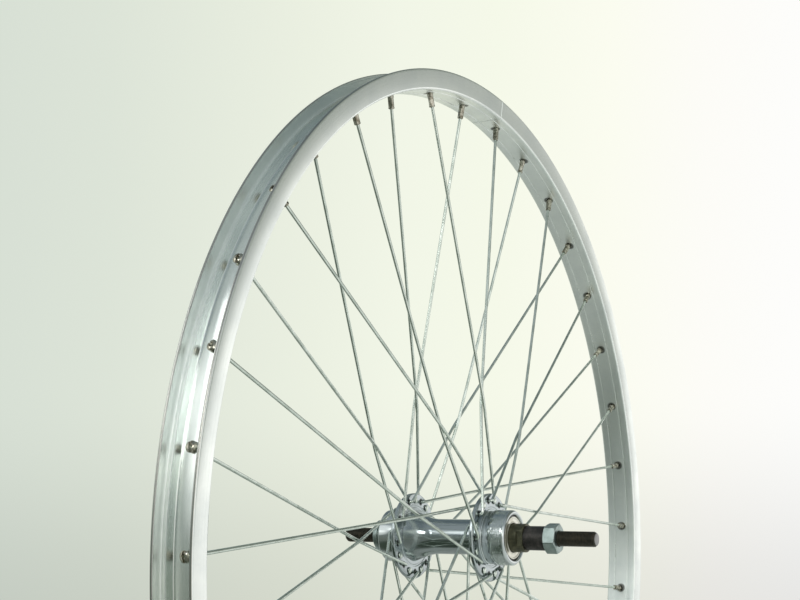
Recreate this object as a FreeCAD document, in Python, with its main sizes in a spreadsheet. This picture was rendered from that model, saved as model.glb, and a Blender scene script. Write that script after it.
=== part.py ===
"""Bare rear wheel of a bicycle: an alloy rim, 36 steel spokes laced three cross, and a
freewheel hub that turns on two caged ball bearings round a solid threaded axle.

The axle lies along Y and the wheel's middle plane is y = 0.  The drive side, which takes
the screw-on freewheel, is -Y.  The origin is the centre of the wheel.  Sizes are in mm.
"""
import FreeCAD, Part
import math
import os

import Sketcher
from FreeCAD import Placement, Rotation, Vector

SIZES = [
    # rim
    ("bead_seat_diameter", 590.0, "where the tyre bead sits, 26 x 1 3/8 size"),
    ("rim_flange_height", 6.5, "flange tip above the bead seat"),
    ("rim_width", 24.6, "over the flange tips"),
    ("rim_base_width", 23.2, "over the sidewalls at the hub side"),
    ("rim_wall", 1.6, "sidewall"),
    ("bead_seat_width", 2.6, "flat that carries the bead"),
    ("rim_depth", 13.1, "flange tip to the hub side"),
    ("well_floor", 2.2, "thickness of the well floor"),
    ("well_half_width", 6.8, "middle of the rim to the foot of the well's slope"),
    ("rim_corner", 1.6, "rounding of the hub side corners"),
    ("rim_tip_rounding", 0.7, "rounding of the flange tips"),
    ("chamber_wall", 1.3, "wall round the hollow under each bead seat"),
    ("pin_play", 0.1, "joint pin inside its hollow"),
    ("pin_arc", 12.0, "degrees of rim that a joint pin spans"),
    ("joint_angle", 83.0, "where the rim's ends meet, degrees from +X towards +Z"),
    ("valve_hole_diameter", 8.5, "car type valve"),
    ("valve_angle", -85.0, "between two spokes that part towards the hub"),
    # lacing
    ("spoke_count", 36.0, "both flanges together"),
    ("crosses", 3.0, "spokes of its own flange that each spoke crosses"),
    ("spoke_diameter", 2.0, "14 gauge"),
    ("spoke_hole_diameter", 2.6, "in the hub flanges"),
    ("spoke_hole_circle", 47.0, "diameter of the circle of spoke holes"),
    ("hole_stagger", 0.6, "rim holes off the middle, each towards its own flange"),
    ("elbow_radius", 1.9, "centre line of the spoke's bend"),
    ("elbow_rise", 0.5, "straight wire between the flange face and the bend"),
    ("cross_bend_radius", 60.0, "where a spoke passes behind the last one it crosses"),
    ("cross_gap", 0.1, "between two spokes where they are interlaced"),
    ("spoke_head_diameter", 4.2, "head of the spoke"),
    ("spoke_head_height", 1.2, "head of the spoke"),
    ("head_gap", 0.05, "head to flange face"),
    # nipples
    ("nipple_diameter", 4.0, "barrel"),
    ("nipple_play", 0.2, "barrel inside its rim hole, each side"),
    ("nipple_head_diameter", 6.0, "head inside the tyre channel"),
    ("nipple_head_rise", 1.2, "height of the head's rim above the seat"),
    ("nipple_dome", 0.9, "dome on top of the head"),
    ("nipple_reach", 14.5, "barrel below the seat, towards the hub"),
    ("nipple_lift", 0.25, "head above the well floor, so that a tilted head clears it"),
    ("thread_play", 0.05, "spoke inside the nipple"),
    # hub shell
    ("flange_diameter", 56.0, "both flanges"),
    ("flange_thickness", 2.8, "both flanges"),
    ("flange_rounding", 0.9, "edge of a flange"),
    ("drive_flange_offset", 16.6, "middle plane to the middle of the drive flange"),
    ("nondrive_flange_offset", 39.4, "middle plane to the middle of the other flange"),
    ("barrel_diameter", 22.6, "hub barrel at its waist"),
    ("drive_root_diameter", 24.6, "hub barrel where it meets the drive flange"),
    ("nondrive_root_diameter", 33.0, "hub barrel where it meets the other flange"),
    ("drive_flare_length", 6.0, "from the drive flange to the waist"),
    ("nondrive_flare_length", 19.0, "from the other flange to the waist"),
    ("shell_bore", 18.0, "way for the axle through the shell"),
    ("boss_thread_diameter", 34.925, "1.375 in by 24 per in freewheel thread"),
    ("boss_relief", 1.0, "depth of the run-out groove behind the thread"),
    ("boss_relief_width", 4.0, "width of that groove"),
    ("boss_chamfer", 1.0, "mouth of the thread"),
    ("drive_shell_end", 34.4, "middle plane to the end of the freewheel boss"),
    ("nondrive_shell_end", 57.0, "middle plane to the end of the other bearing cup"),
    ("end_cup_diameter", 34.0, "outside of the bearing cup opposite the freewheel"),
    ("end_cup_rounding", 1.2, "its outer edge"),
    # bearings, measured from the end of the shell that holds them
    ("ball_diameter", 6.35, "quarter inch"),
    ("ball_circle", 20.0, "pitch diameter"),
    ("ball_count", 7.0, "caged"),
    ("ball_clearance", 0.2, "ball to either race"),
    ("ball_inset", 5.0, "shell end to the ball centres"),
    ("race_diameter", 29.2, "outside of the pressed-in race"),
    ("press_gap", 0.02, "race inside its seat, each side"),
    ("race_seat_inset", 9.4, "shell end to the race's seat"),
    ("race_rim_inset", 1.4, "shell end to the race's outer face"),
    ("race_bore", 17.0, "way for the cone through the race"),
    ("cap_diameter", 27.8, "dust cap"),
    ("cap_thickness", 0.8, "dust cap"),
    ("cap_play", 0.4, "dust cap round the cone, each side"),
    ("cage_ring_play", 0.275, "retainer ring inside the race, each side"),
    ("cage_ring_width", 0.9, "retainer ring, radially"),
    ("cage_finger_sink", 0.2, "finger end inside the ring's edge"),
    ("cage_ring_thickness", 0.8, "retainer ring"),
    ("cage_cap_gap", 0.3, "retainer ring to dust cap"),
    ("cage_finger_width", 1.3, "between two balls"),
    ("cage_finger_depth", 3.2, "radial size of a finger"),
    ("cage_finger_length", 3.6, "finger along the axle"),
    # axle and what is screwed on it
    ("axle_diameter", 9.525, "3/8 in"),
    ("axle_length", 180.0, "over both ends"),
    ("axle_chamfer", 1.0, "both ends"),
    ("axle_pitch_diameter", 9.0, "between the locknuts' outer faces, where the nuts and cones screw on"),
    ("over_locknuts", 130.0, "width that the frame's ends close on"),
    ("cone_diameter", 18.0, "body of a cone"),
    ("cone_flats", 15.0, "across the spanner flats"),
    ("cone_flats_length", 4.0, "flats along the axle"),
    ("cone_nose", 2.2, "cone inboard of the ball centres"),
    ("drive_cone_end", 43.0, "middle plane to the cone's outer face"),
    ("spacer_diameter", 15.2, "sleeve on the drive side"),
    ("drive_locknut_thickness", 8.0, "hexagon nut on the drive side"),
    ("locknut_flats", 17.0, "across the flats"),
    ("locknut_turn", 15.0, "one corner, degrees from +X towards +Z"),
    ("locknut_washer_diameter", 17.6, "round face of a locknut"),
    ("nondrive_locknut_thickness", 3.2, "thin round nut"),
    ("nondrive_locknut_diameter", 20.0, "thin round nut"),
    ("locknut_countersink", 0.6, "thread mouth in the outer face of both locknuts"),
    ("lockwasher_thickness", 0.8, "under the thin nut"),
    ("lockwasher_diameter", 18.4, "under the thin nut"),
]

WORKED = [
    ("rim_outer", "Sizes.bead_seat_diameter / 2 + Sizes.rim_flange_height"),
    ("rim_inner", "Worked.rim_outer - Sizes.rim_depth"),
    ("bead_seat", "Sizes.bead_seat_diameter / 2"),
    ("well_radius", "Worked.rim_inner + Sizes.well_floor"),
    ("seat_outer_y", "Sizes.rim_width / 2 - Sizes.rim_wall"),
    ("seat_inner_y", "Worked.seat_outer_y - Sizes.bead_seat_width"),
    ("chamber_low", "Worked.rim_inner + Sizes.chamber_wall"),
    ("chamber_high", "Worked.bead_seat - Sizes.chamber_wall"),
    ("chamber_inner_y", "Sizes.well_half_width + Sizes.chamber_wall"),
    ("chamber_outer_y", "Sizes.rim_base_width / 2 - Sizes.chamber_wall"),
    ("hole_circle", "Sizes.spoke_hole_circle / 2"),
    ("rim_step", "360 / Sizes.spoke_count"),
    ("hub_turn", "Sizes.crosses * 2 * Worked.rim_step"),
    ("spoke_run", "sqrt(Worked.well_radius ^ 2 + Worked.hole_circle ^ 2"
                  " - 2 * Worked.well_radius * Worked.hole_circle * cos(Worked.hub_turn * 1 deg))"),
    ("hub_part", "Worked.hole_circle * sin((Worked.hub_turn - Worked.rim_step) * 1 deg)"),
    ("rim_part", "Worked.well_radius * sin(Worked.rim_step * 1 deg)"),
    ("cross_share", "Worked.hub_part / (Worked.hub_part + Worked.rim_part)"),
    ("cross_run", "Worked.cross_share * Worked.spoke_run"),
    ("drive_fall", "Sizes.drive_flange_offset - Sizes.hole_stagger"),
    ("nondrive_fall", "Sizes.nondrive_flange_offset - Sizes.hole_stagger"),
    ("cross_lift", "Sizes.spoke_diameter / 2 + Sizes.cross_gap"),
    ("elbow_start", "Sizes.flange_thickness / 2 + Sizes.elbow_rise"),
    ("head_face", "Sizes.flange_thickness / 2 + Sizes.head_gap"),
    ("groove_radius", "Sizes.ball_diameter / 2 + Sizes.ball_clearance"),
    ("cage_ring_outer", "Sizes.ball_circle / 2 + Worked.groove_radius - Sizes.cage_ring_play"),
    ("drive_locknut_inner", "Sizes.over_locknuts / 2 - Sizes.drive_locknut_thickness"),
    ("nondrive_locknut_inner", "Sizes.over_locknuts / 2 - Sizes.nondrive_locknut_thickness"),
    ("nondrive_cone_end", "Worked.nondrive_locknut_inner - Sizes.lockwasher_thickness"),
]

SIDES = {"drive": -1, "nondrive": 1}
Y_AXIS = Vector(0, 1, 0)
Z_TO_Y = Rotation(Vector(0, 0, 1), Y_AXIS)

doc = FreeCAD.newDocument("RearWheel")
exports = {}


# ---------------------------------------------------------------- sheets and helpers

def fill_sheet(name, rows, prefix=""):
    """A sheet with a name, a value and a note in each row, the value under that name."""
    sheet = doc.addObject("Spreadsheet::Sheet", name)
    for number, row in enumerate(rows, start=1):
        sheet.set(f"A{number}", row[0])
        sheet.set(f"B{number}", prefix + str(row[1]))
        sheet.setAlias(f"B{number}", row[0])
        if len(row) > 2:
            sheet.set(f"C{number}", row[2])
    doc.recompute()
    return sheet


sizes_sheet = fill_sheet("Sizes", SIZES)
worked_sheet = fill_sheet("Worked", [(alias, text.replace("Worked.", "")) for alias, text in WORKED], "=")


def size(alias):
    """The present value of a cell of either sheet."""
    sheet = worked_sheet if hasattr(worked_sheet, alias) else sizes_sheet
    return float(getattr(sheet, alias))


def keep(node, item):
    """Give a finished object its label and list it for export."""
    item.Label = node
    exports[node] = item
    return item


def new_body(name):
    return doc.addObject("PartDesign::Body", name)


def origin_plane(body, role):
    return next(item for item in body.Origin.OriginFeatures if item.Role == role)


def plane_sketch(body, name, role):
    sketch = body.newObject("Sketcher::SketchObject", name)
    sketch.AttachmentSupport = (origin_plane(body, role), [""])
    sketch.MapMode = "FlatFace"
    return sketch


def pin_point(sketch, geometry, end, across, along):
    """Hold one end of a sketch line at two expressions, measured from the origin."""
    for kind, expression in (("DistanceX", across), ("DistanceY", along)):
        place = getattr(sketch.getPoint(geometry, end), kind[-1].lower())
        index = sketch.addConstraint(Sketcher.Constraint(kind, -1, 1, geometry, end, place))
        sketch.setExpression(f"Constraints[{index}]", expression)


def outline(sketch, corners):
    """A closed outline whose corners are pairs of expressions: radius, place along Y."""
    count = len(corners)
    first = sketch.GeometryCount
    start = [Vector(20 + 10 * math.cos(math.tau * i / count), 10 * math.sin(math.tau * i / count), 0)
             for i in range(count)]
    for i in range(count):
        sketch.addGeometry(Part.LineSegment(start[i], start[(i + 1) % count]))
    for i in range(count):
        follower = first + (i + 1) % count
        sketch.addConstraint(Sketcher.Constraint("Coincident", first + i, 2, follower, 1))
    for i, (across, along) in enumerate(corners):
        pin_point(sketch, first + i, 1, across, along)


def turned(name, *outlines):
    """A body turned about Y from one outline, or from an outline and its hollows."""
    body = new_body(name)
    sketch = plane_sketch(body, name + "_outline", "XY_Plane")
    for corners in outlines:
        outline(sketch, corners)
    turn = body.newObject("PartDesign::Revolution", name + "_turn")
    turn.Profile = sketch
    turn.ReferenceAxis = (sketch, ["V_Axis"])
    turn.Angle = 360
    sketch.Visibility = False
    doc.recompute()
    return body


def ring_edges(shape, radius, along):
    """Names of the circular edges about Y with this radius at this y."""
    names = []
    for index, edge in enumerate(shape.Edges, start=1):
        curve = edge.Curve
        if isinstance(curve, Part.Circle) and abs(curve.Radius - radius) < 0.01:
            if abs(curve.Center.y - along) < 0.01 and abs(curve.Center.x) < 0.01:
                names.append(f"Edge{index}")
    return names


def round_edges(body, kind, places, expression):
    """Fillet or chamfer the circular edges at the given (radius, y) places."""
    tip = body.Tip
    names = [name for radius, along in places for name in ring_edges(tip.Shape, radius, along)]
    dressing = body.newObject("PartDesign::" + kind, f"{body.Name}_{kind.lower()}")
    dressing.Base = (tip, names)
    dressing.setExpression("Radius" if kind == "Fillet" else "Size", expression)
    doc.recompute()
    return dressing


def bound(item, **expressions):
    """Bind properties to expressions; a double underscore stands for a dot."""
    for name, expression in expressions.items():
        item.setExpression(name.replace("__", "."), expression)
    return item


def around(body, originals, expression):
    """Repeat features evenly about the axle and make the result the body's tip."""
    pattern = body.newObject("PartDesign::PolarPattern", originals[0].Name + "_pattern")
    pattern.Originals = originals
    axis = next(item for item in body.Origin.OriginFeatures if item.Role == "Y_Axis")
    pattern.Axis = (axis, [""])
    pattern.Angle = 360
    pattern.setExpression("Occurrences", expression)
    body.Tip = pattern
    doc.recompute()
    return pattern


def rim_direction(degrees):
    """Unit vector out from the axle at an angle from +X towards +Z."""
    return Vector(math.cos(math.radians(degrees)), 0, math.sin(math.radians(degrees)))


# ---------------------------------------------------------------- lacing geometry

def rim_angle(index):
    """Angle of a rim hole; hole 0 points along -X and the count runs over the top."""
    return 180 - size("rim_step") * index


def lacing(index):
    """Side, turn direction and elbow side of a spoke.

    Spokes alternate between the flanges.  On each flange every other spoke leans the
    other way, and those that lean forwards leave the flange on its outer face.
    """
    side = "drive" if index % 2 == 0 else "nondrive"
    turn = 1 if index % 4 in (1, 2) else -1
    outboard = turn if side == "drive" else -turn
    return side, turn, outboard


def spoke_frame(index):
    """Placement of a spoke: its origin in the flange hole, its X towards the rim hole."""
    side, turn, _ = lacing(index)
    hub_point = rim_direction(rim_angle(index) + turn * size("hub_turn")) * size("hole_circle")
    rim_point = rim_direction(rim_angle(index)) * size("well_radius")
    run = rim_point - hub_point
    heading = math.degrees(math.atan2(run.z, run.x))
    hub_point.y = SIDES[side] * size(side + "_flange_offset")
    return Placement(hub_point, Rotation(Y_AXIS, -heading))


def spoke_marks(index):
    """The crossing corner and the rim end of a spoke's centre line, in its own frame."""
    side, _, outboard = lacing(index)
    fall = size(side + "_fall")
    level = -fall * size("cross_share") - outboard * size("cross_lift")
    corner = Vector(size("cross_run"), SIDES[side] * level, 0)
    end = Vector(size("spoke_run"), -SIDES[side] * fall, 0)
    return corner, end


def nipple_frame(index):
    """Placement of a nipple: its origin on the well floor, its Z along the spoke, outward."""
    corner, end = spoke_marks(index)
    frame = spoke_frame(index)
    along = frame.Rotation.multVec(end - corner)
    return Placement(frame.multVec(end), Rotation(Vector(0, 0, 1), along))


# ---------------------------------------------------------------- rim

def make_rim():
    """Extruded section with two hollows under the bead seats, turned, drilled and rounded."""
    half = [
        ("Worked.rim_inner", "Sizes.rim_base_width / 2"),
        ("Worked.rim_outer", "Sizes.rim_width / 2"),
        ("Worked.rim_outer", "Worked.seat_outer_y"),
        ("Worked.bead_seat", "Worked.seat_outer_y"),
        ("Worked.bead_seat", "Worked.seat_inner_y"),
        ("Worked.well_radius", "Sizes.well_half_width"),
    ]
    section = half + [(across, f"-({along})") for across, along in reversed(half)]
    hollow = [
        ("Worked.chamber_low", "Worked.chamber_inner_y"),
        ("Worked.chamber_low", "Worked.chamber_outer_y"),
        ("Worked.chamber_high", "Worked.chamber_outer_y"),
        ("Worked.chamber_high", "Worked.chamber_inner_y + Sizes.chamber_wall / 2"),
    ]
    mirrored = [(across, f"-({along})") for across, along in hollow]
    body = turned("rim", section, hollow, mirrored)
    corner_y = size("rim_base_width") / 2
    round_edges(body, "Fillet", [(size("rim_inner"), y) for y in (corner_y, -corner_y)], "Sizes.rim_corner")
    tip_ys = [size("rim_width") / 2, size("seat_outer_y")]
    tips = [(size("rim_outer"), sign * y) for y in tip_ys for sign in (1, -1)]
    tip_rounding = round_edges(body, "Fillet", tips, "Sizes.rim_tip_rounding")
    tip_rounding.Label = "rim_tip_rounding"
    drill_depth = 3 * size("well_floor")
    for index in range(4):
        hole = body.newObject("PartDesign::SubtractiveCylinder", f"nipple_hole_{index}")
        frame = nipple_frame(index)
        hole.Placement = frame.multiply(Placement(Vector(0, 0, -drill_depth), Rotation()))
        bound(hole, Radius="Sizes.nipple_diameter / 2 + Sizes.nipple_play",
              Height="6 * Sizes.well_floor")
        doc.recompute()
        around(body, [hole], "Sizes.spoke_count / 4")
    valve = body.newObject("PartDesign::SubtractiveCylinder", "valve_hole")
    outward = rim_direction(size("valve_angle"))
    start = outward * (size("rim_inner") - drill_depth)
    valve.Placement = Placement(start, Rotation(Vector(0, 0, 1), outward))
    bound(valve, Radius="Sizes.valve_hole_diameter / 2", Height="6 * Sizes.well_floor")
    doc.recompute()
    return keep("rim", body)


def make_joint_pins():
    """Two curved pins in the hollows that hold the rim's ends together."""
    pins = []
    for number, sign in enumerate((-1, 1)):
        body = new_body(f"joint_pin_{number}")
        sketch = plane_sketch(body, f"joint_pin_outline_{number}", "XY_Plane")
        low = "Worked.chamber_low + Sizes.pin_play"
        high = "Worked.chamber_high - Sizes.pin_play"
        near = f"{sign} * (Worked.chamber_inner_y + Sizes.chamber_wall / 2 + Sizes.pin_play)"
        far = f"{sign} * (Worked.chamber_outer_y - Sizes.pin_play)"
        outline(sketch, [(low, near), (high, near), (high, far), (low, far)])
        turn = body.newObject("PartDesign::Revolution", f"joint_pin_turn_{number}")
        turn.Profile = sketch
        turn.ReferenceAxis = (sketch, ["V_Axis"])
        turn.Midplane = True
        turn.setExpression("Angle", "Sizes.pin_arc")
        body.Placement = Placement(Vector(), Rotation(Y_AXIS, -size("joint_angle")))
        pins.append(body)
    pair = doc.addObject("Part::Compound", "rim_joint_pins")
    pair.Links = pins
    doc.recompute()
    return keep("rim_joint_pins", pair)


# ---------------------------------------------------------------- spokes and nipples

def arc_between(centre, first, last):
    """Sketch arc about a centre, running anticlockwise from one point to another."""
    start = math.atan2(first.y - centre.y, first.x - centre.x)
    stop = math.atan2(last.y - centre.y, last.x - centre.x)
    circle = Part.Circle(centre, Vector(0, 0, 1), (first - centre).Length)
    return Part.ArcOfCircle(circle, start, stop)


def bend_points(before, corner, after, radius):
    """Where an arc of this radius leaves and joins the two runs that meet at a corner."""
    back = (before - corner).normalize()
    ahead = (after - corner).normalize()
    half = back.getAngle(ahead) / 2
    reach = radius / math.tan(half)
    middle = (back + ahead).normalize() * (radius / math.sin(half))
    return corner + back * reach, corner + ahead * reach, corner + middle


def elbow_end(heading, target):
    """Where the elbow's arc ends so that the wire then points at the target."""
    radius = size("elbow_radius")
    centre = Vector(radius, heading * size("elbow_start"), 0)
    away = target - centre
    lean = math.atan2(away.x, heading * away.y) + math.asin(radius / away.Length)
    return centre, centre + Vector(-math.cos(lean), heading * math.sin(lean), 0) * radius


def spoke_path(body, name, index):
    """Centre line of a spoke: through the flange, elbow, run, bend at the crossing, run."""
    side, _, outboard = lacing(index)
    sign = SIDES[side]
    heading = sign * outboard
    corner, end = spoke_marks(index)
    head = Vector(0, -heading * size("head_face"), 0)
    rise = Vector(0, heading * size("elbow_start"), 0)
    centre, leave = elbow_end(heading, corner)
    bend_in, bend_out, bend_centre = bend_points(leave, corner, end, size("cross_bend_radius"))
    path = plane_sketch(body, name + "_path", "XY_Plane")
    elbow = arc_between(centre, leave, rise) if heading > 0 else arc_between(centre, rise, leave)
    left_turn = (corner - leave).cross(end - corner).z > 0
    bend = (arc_between(bend_centre, bend_in, bend_out) if left_turn
            else arc_between(bend_centre, bend_out, bend_in))
    pieces = [Part.LineSegment(head, rise), elbow, Part.LineSegment(leave, bend_in), bend,
              Part.LineSegment(bend_out, end)]
    for piece in pieces:
        path.addGeometry(piece)
    elbow_in, elbow_out = (2, 1) if heading > 0 else (1, 2)
    near, far = (1, 2) if left_turn else (2, 1)
    path.addConstraint([
        Sketcher.Constraint("Tangent", 0, 2, 1, elbow_in),
        Sketcher.Constraint("Tangent", 1, elbow_out, 2, 1),
        Sketcher.Constraint("Tangent", 2, 2, 3, near),
        Sketcher.Constraint("Tangent", 3, far, 4, 1),
        Sketcher.Constraint("Vertical", 0),
    ])
    mark = path.addGeometry(Part.Point(corner), True)
    path.addConstraint(Sketcher.Constraint("PointOnObject", mark, 1, 2))
    path.addConstraint(Sketcher.Constraint("PointOnObject", mark, 1, 4))
    pin_point(path, 0, 1, "0", f"{-heading} * Worked.head_face")
    rise_at = path.addConstraint(Sketcher.Constraint("DistanceY", -1, 1, 0, 2, rise.y))
    path.setExpression(f"Constraints[{rise_at}]", f"{heading} * Worked.elbow_start")
    level = f"{-sign} * (Worked.{side}_fall * Worked.cross_share + {outboard} * Worked.cross_lift)"
    pin_point(path, mark, 1, "Worked.cross_run", level)
    pin_point(path, 4, 2, "Worked.spoke_run", f"{-sign} * Worked.{side}_fall")
    for arc, alias in ((1, "elbow_radius"), (3, "cross_bend_radius")):
        index_of = path.addConstraint(Sketcher.Constraint("Radius", arc, size(alias)))
        path.setExpression(f"Constraints[{index_of}]", "Sizes." + alias)
    return path, heading


def circle_sketch(body, name, along, diameter):
    """A circle round Y at the flange hole, at a place along Y."""
    sketch = plane_sketch(body, name, "XZ_Plane")
    sketch.addGeometry(Part.Circle(Vector(), Vector(0, 0, 1), size("spoke_diameter") / 2))
    sketch.addConstraint(Sketcher.Constraint("Coincident", 0, 3, -1, 1))
    index = sketch.addConstraint(Sketcher.Constraint("Diameter", 0, size("spoke_diameter")))
    sketch.setExpression(f"Constraints[{index}]", diameter)
    sketch.setExpression("AttachmentOffset.Base.z", f"-1 * ({along})")
    return sketch


def make_spoke(node, index):
    """One spoke: a swept wire with its elbow, and a flat head on the flange's other face."""
    body = new_body(node)
    path, heading = spoke_path(body, node, index)
    place = f"{-heading} * Worked.head_face"
    wire = circle_sketch(body, node + "_wire", place, "Sizes.spoke_diameter")
    doc.recompute()
    pipe = body.newObject("PartDesign::AdditivePipe", node + "_pipe")
    pipe.Profile = wire
    pipe.Spine = (path, [f"Edge{number}" for number in range(1, 6)])
    head_outline = circle_sketch(body, node + "_head", place, "Sizes.spoke_head_diameter")
    head = body.newObject("PartDesign::Pad", node + "_head_pad")
    head.Profile = head_outline
    head.UseCustomVector = True
    head.Direction = Vector(0, -heading, 0)
    head.AlongSketchNormal = False
    head.setExpression("Length", "Sizes.spoke_head_height")
    body.Placement = spoke_frame(index)
    return keep(node, body)


def make_spokes():
    """Two sets of spokes, numbered round the rim."""
    for index in range(round(size("spoke_count"))):
        side, _, _ = lacing(index)
        make_spoke(f"spoke_{side}_{index // 2 + 1:02d}", index)
    doc.recompute()


def make_nipples():
    """One turned nipple, repeated along every spoke: one compound for each flange."""
    body = new_body("nipple")
    sketch = plane_sketch(body, "nipple_outline", "XZ_Plane")
    bore = "Sizes.spoke_diameter / 2 + Sizes.thread_play"
    barrel = "Sizes.nipple_diameter / 2"
    head = "Sizes.nipple_head_diameter / 2"
    brim = "Sizes.nipple_lift + Sizes.nipple_head_rise"
    outline(sketch, [
        (bore, "-1 * Sizes.nipple_reach"),
        (barrel, "-1 * Sizes.nipple_reach"),
        (barrel, "Sizes.nipple_lift"),
        (head, f"Sizes.nipple_lift + {head} - {barrel}"),
        (head, brim),
        (bore, f"{brim} + Sizes.nipple_dome"),
    ])
    turn = body.newObject("PartDesign::Revolution", "nipple_turn")
    turn.Profile = sketch
    turn.ReferenceAxis = (sketch, ["V_Axis"])
    turn.Angle = 360
    doc.recompute()
    for side in SIDES:
        links = []
        for index in range(round(size("spoke_count"))):
            if lacing(index)[0] == side:
                link = doc.addObject("App::Link", f"nipple_{index:02d}")
                link.LinkedObject = body
                link.Placement = nipple_frame(index)
                links.append(link)
        group = doc.addObject("Part::Compound", side + "_nipples")
        group.Links = links
        keep(side + "_nipples", group)
    doc.recompute()


# ---------------------------------------------------------------- hub shell

def flange_face(side, outward):
    """Expression for a flange face: +1 the outer face, -1 the inner one."""
    return f"{SIDES[side]} * (Sizes.{side}_flange_offset + {outward} * Sizes.flange_thickness / 2)"


def make_barrel():
    """Waisted tube between the flanges."""
    bore = "Sizes.shell_bore / 2"
    waist = "Sizes.barrel_diameter / 2"
    drive = flange_face("drive", -1)
    other = flange_face("nondrive", -1)
    body = turned("hub_barrel", [
        (bore, drive), ("Sizes.drive_root_diameter / 2", drive),
        (waist, f"{drive} + Sizes.drive_flare_length"),
        (waist, f"{other} - Sizes.nondrive_flare_length"),
        ("Sizes.nondrive_root_diameter / 2", other), (bore, other),
    ])
    return keep("hub_barrel", body)


def make_flange(side):
    """Disc with its ring of spoke holes and rounded edge."""
    inner, outer = flange_face(side, -1), flange_face(side, 1)
    bore, edge = "Sizes.shell_bore / 2", "Sizes.flange_diameter / 2"
    body = turned(side + "_flange", [(bore, inner), (edge, inner), (edge, outer), (bore, outer)])
    middle = SIDES[side] * size(side + "_flange_offset")
    half = size("flange_thickness") / 2
    places = [(size("flange_diameter") / 2, middle + half), (size("flange_diameter") / 2, middle - half)]
    round_edges(body, "Fillet", places, "Sizes.flange_rounding")
    hole = body.newObject("PartDesign::SubtractiveCylinder", side + "_spoke_hole")
    first = 0 if side == "drive" else size("rim_step")
    at = rim_direction(first) * size("hole_circle")
    at.y = middle - size("flange_thickness")
    hole.Placement = Placement(at, Z_TO_Y)
    bound(hole, Radius="Sizes.spoke_hole_diameter / 2", Height="2 * Sizes.flange_thickness")
    doc.recompute()
    around(body, [hole], "Sizes.spoke_count / 2")
    return keep(side + "_flange", body)


def from_end(side, inset):
    """Expression for a place inboard of one end of the shell."""
    return f"{SIDES[side]} * (Sizes.{side}_shell_end - ({inset}))"


def make_boss():
    """Threaded seat of the freewheel, hollow at its outer end for the bearing."""
    face = flange_face("drive", 1)
    thread = "Sizes.boss_thread_diameter / 2"
    relief = f"{thread} - Sizes.boss_relief"
    seat = "Sizes.race_diameter / 2 + Sizes.press_gap"
    bore = "Sizes.shell_bore / 2"
    body = turned("freewheel_boss", [
        (bore, face), (relief, face), (relief, f"{face} - Sizes.boss_relief_width"),
        (thread, f"{face} - Sizes.boss_relief_width"), (thread, from_end("drive", "0")),
        (seat, from_end("drive", "0")), (seat, from_end("drive", "Sizes.race_seat_inset")),
        (bore, from_end("drive", "Sizes.race_seat_inset")),
    ])
    mouth = [(size("boss_thread_diameter") / 2, SIDES["drive"] * size("drive_shell_end"))]
    round_edges(body, "Chamfer", mouth, "Sizes.boss_chamfer")
    return keep("freewheel_boss", body)


def make_end_cup():
    """Bearing cup of the shell's other end."""
    face = flange_face("nondrive", 1)
    skin = "Sizes.end_cup_diameter / 2"
    seat = "Sizes.race_diameter / 2 + Sizes.press_gap"
    bore = "Sizes.shell_bore / 2"
    body = turned("nondrive_end_cup", [
        (bore, face), (skin, face), (skin, from_end("nondrive", "0")),
        (seat, from_end("nondrive", "0")), (seat, from_end("nondrive", "Sizes.race_seat_inset")),
        (bore, from_end("nondrive", "Sizes.race_seat_inset")),
    ])
    edge = [(size("end_cup_diameter") / 2, size("nondrive_shell_end"))]
    round_edges(body, "Fillet", edge, "Sizes.end_cup_rounding")
    return keep("nondrive_end_cup", body)


# ---------------------------------------------------------------- bearings

def cut_ball_groove(body, side):
    """Cut the ball track, a torus round the axle, from a race or a cone."""
    groove = body.newObject("PartDesign::SubtractiveTorus", body.Name + "_groove")
    centre = SIDES[side] * (size(side + "_shell_end") - size("ball_inset"))
    groove.Placement = Placement(Vector(0, centre, 0), Z_TO_Y)
    bound(groove, Radius1="Sizes.ball_circle / 2", Radius2="Worked.groove_radius",
          Placement__Base__y=from_end(side, "Sizes.ball_inset"))
    doc.recompute()


def make_race(side):
    """Hardened cup with its ball track."""
    skin = "Sizes.race_diameter / 2"
    bore = "Sizes.race_bore / 2"
    track = "Sizes.ball_circle / 2 + Worked.groove_radius"
    back = from_end(side, "Sizes.race_seat_inset")
    middle = from_end(side, "Sizes.ball_inset")
    rim = from_end(side, "Sizes.race_rim_inset")
    body = turned(side + "_race", [
        (bore, back), (skin, back), (skin, rim), (track, rim), (track, middle), (bore, middle),
    ])
    cut_ball_groove(body, side)
    return keep(side + "_race", body)


def make_dust_cap(side):
    """Thin washer on the race, round the cone."""
    inner = "Sizes.cone_diameter / 2 + Sizes.cap_play"
    outer = "Sizes.cap_diameter / 2"
    low = from_end(side, "Sizes.race_rim_inset")
    high = from_end(side, "Sizes.race_rim_inset - Sizes.cap_thickness")
    return keep(side + "_dust_cap", turned(side + "_dust_cap", [
        (inner, low), (outer, low), (outer, high), (inner, high),
    ]))


def make_balls(side):
    """Seven steel balls between the race and the cone."""
    balls = []
    count = round(size("ball_count"))
    for number in range(count):
        ball = doc.addObject("Part::Sphere", f"{side}_ball_{number}")
        ball.setExpression("Radius", "Sizes.ball_diameter / 2")
        place = rim_direction(360 * number / count) * (size("ball_circle") / 2)
        place.y = SIDES[side] * (size(side + "_shell_end") - size("ball_inset"))
        ball.Placement = Placement(place, Rotation())
        balls.append(ball)
    group = doc.addObject("Part::Compound", side + "_balls")
    group.Links = balls
    doc.recompute()
    return keep(side + "_balls", group)


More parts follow.
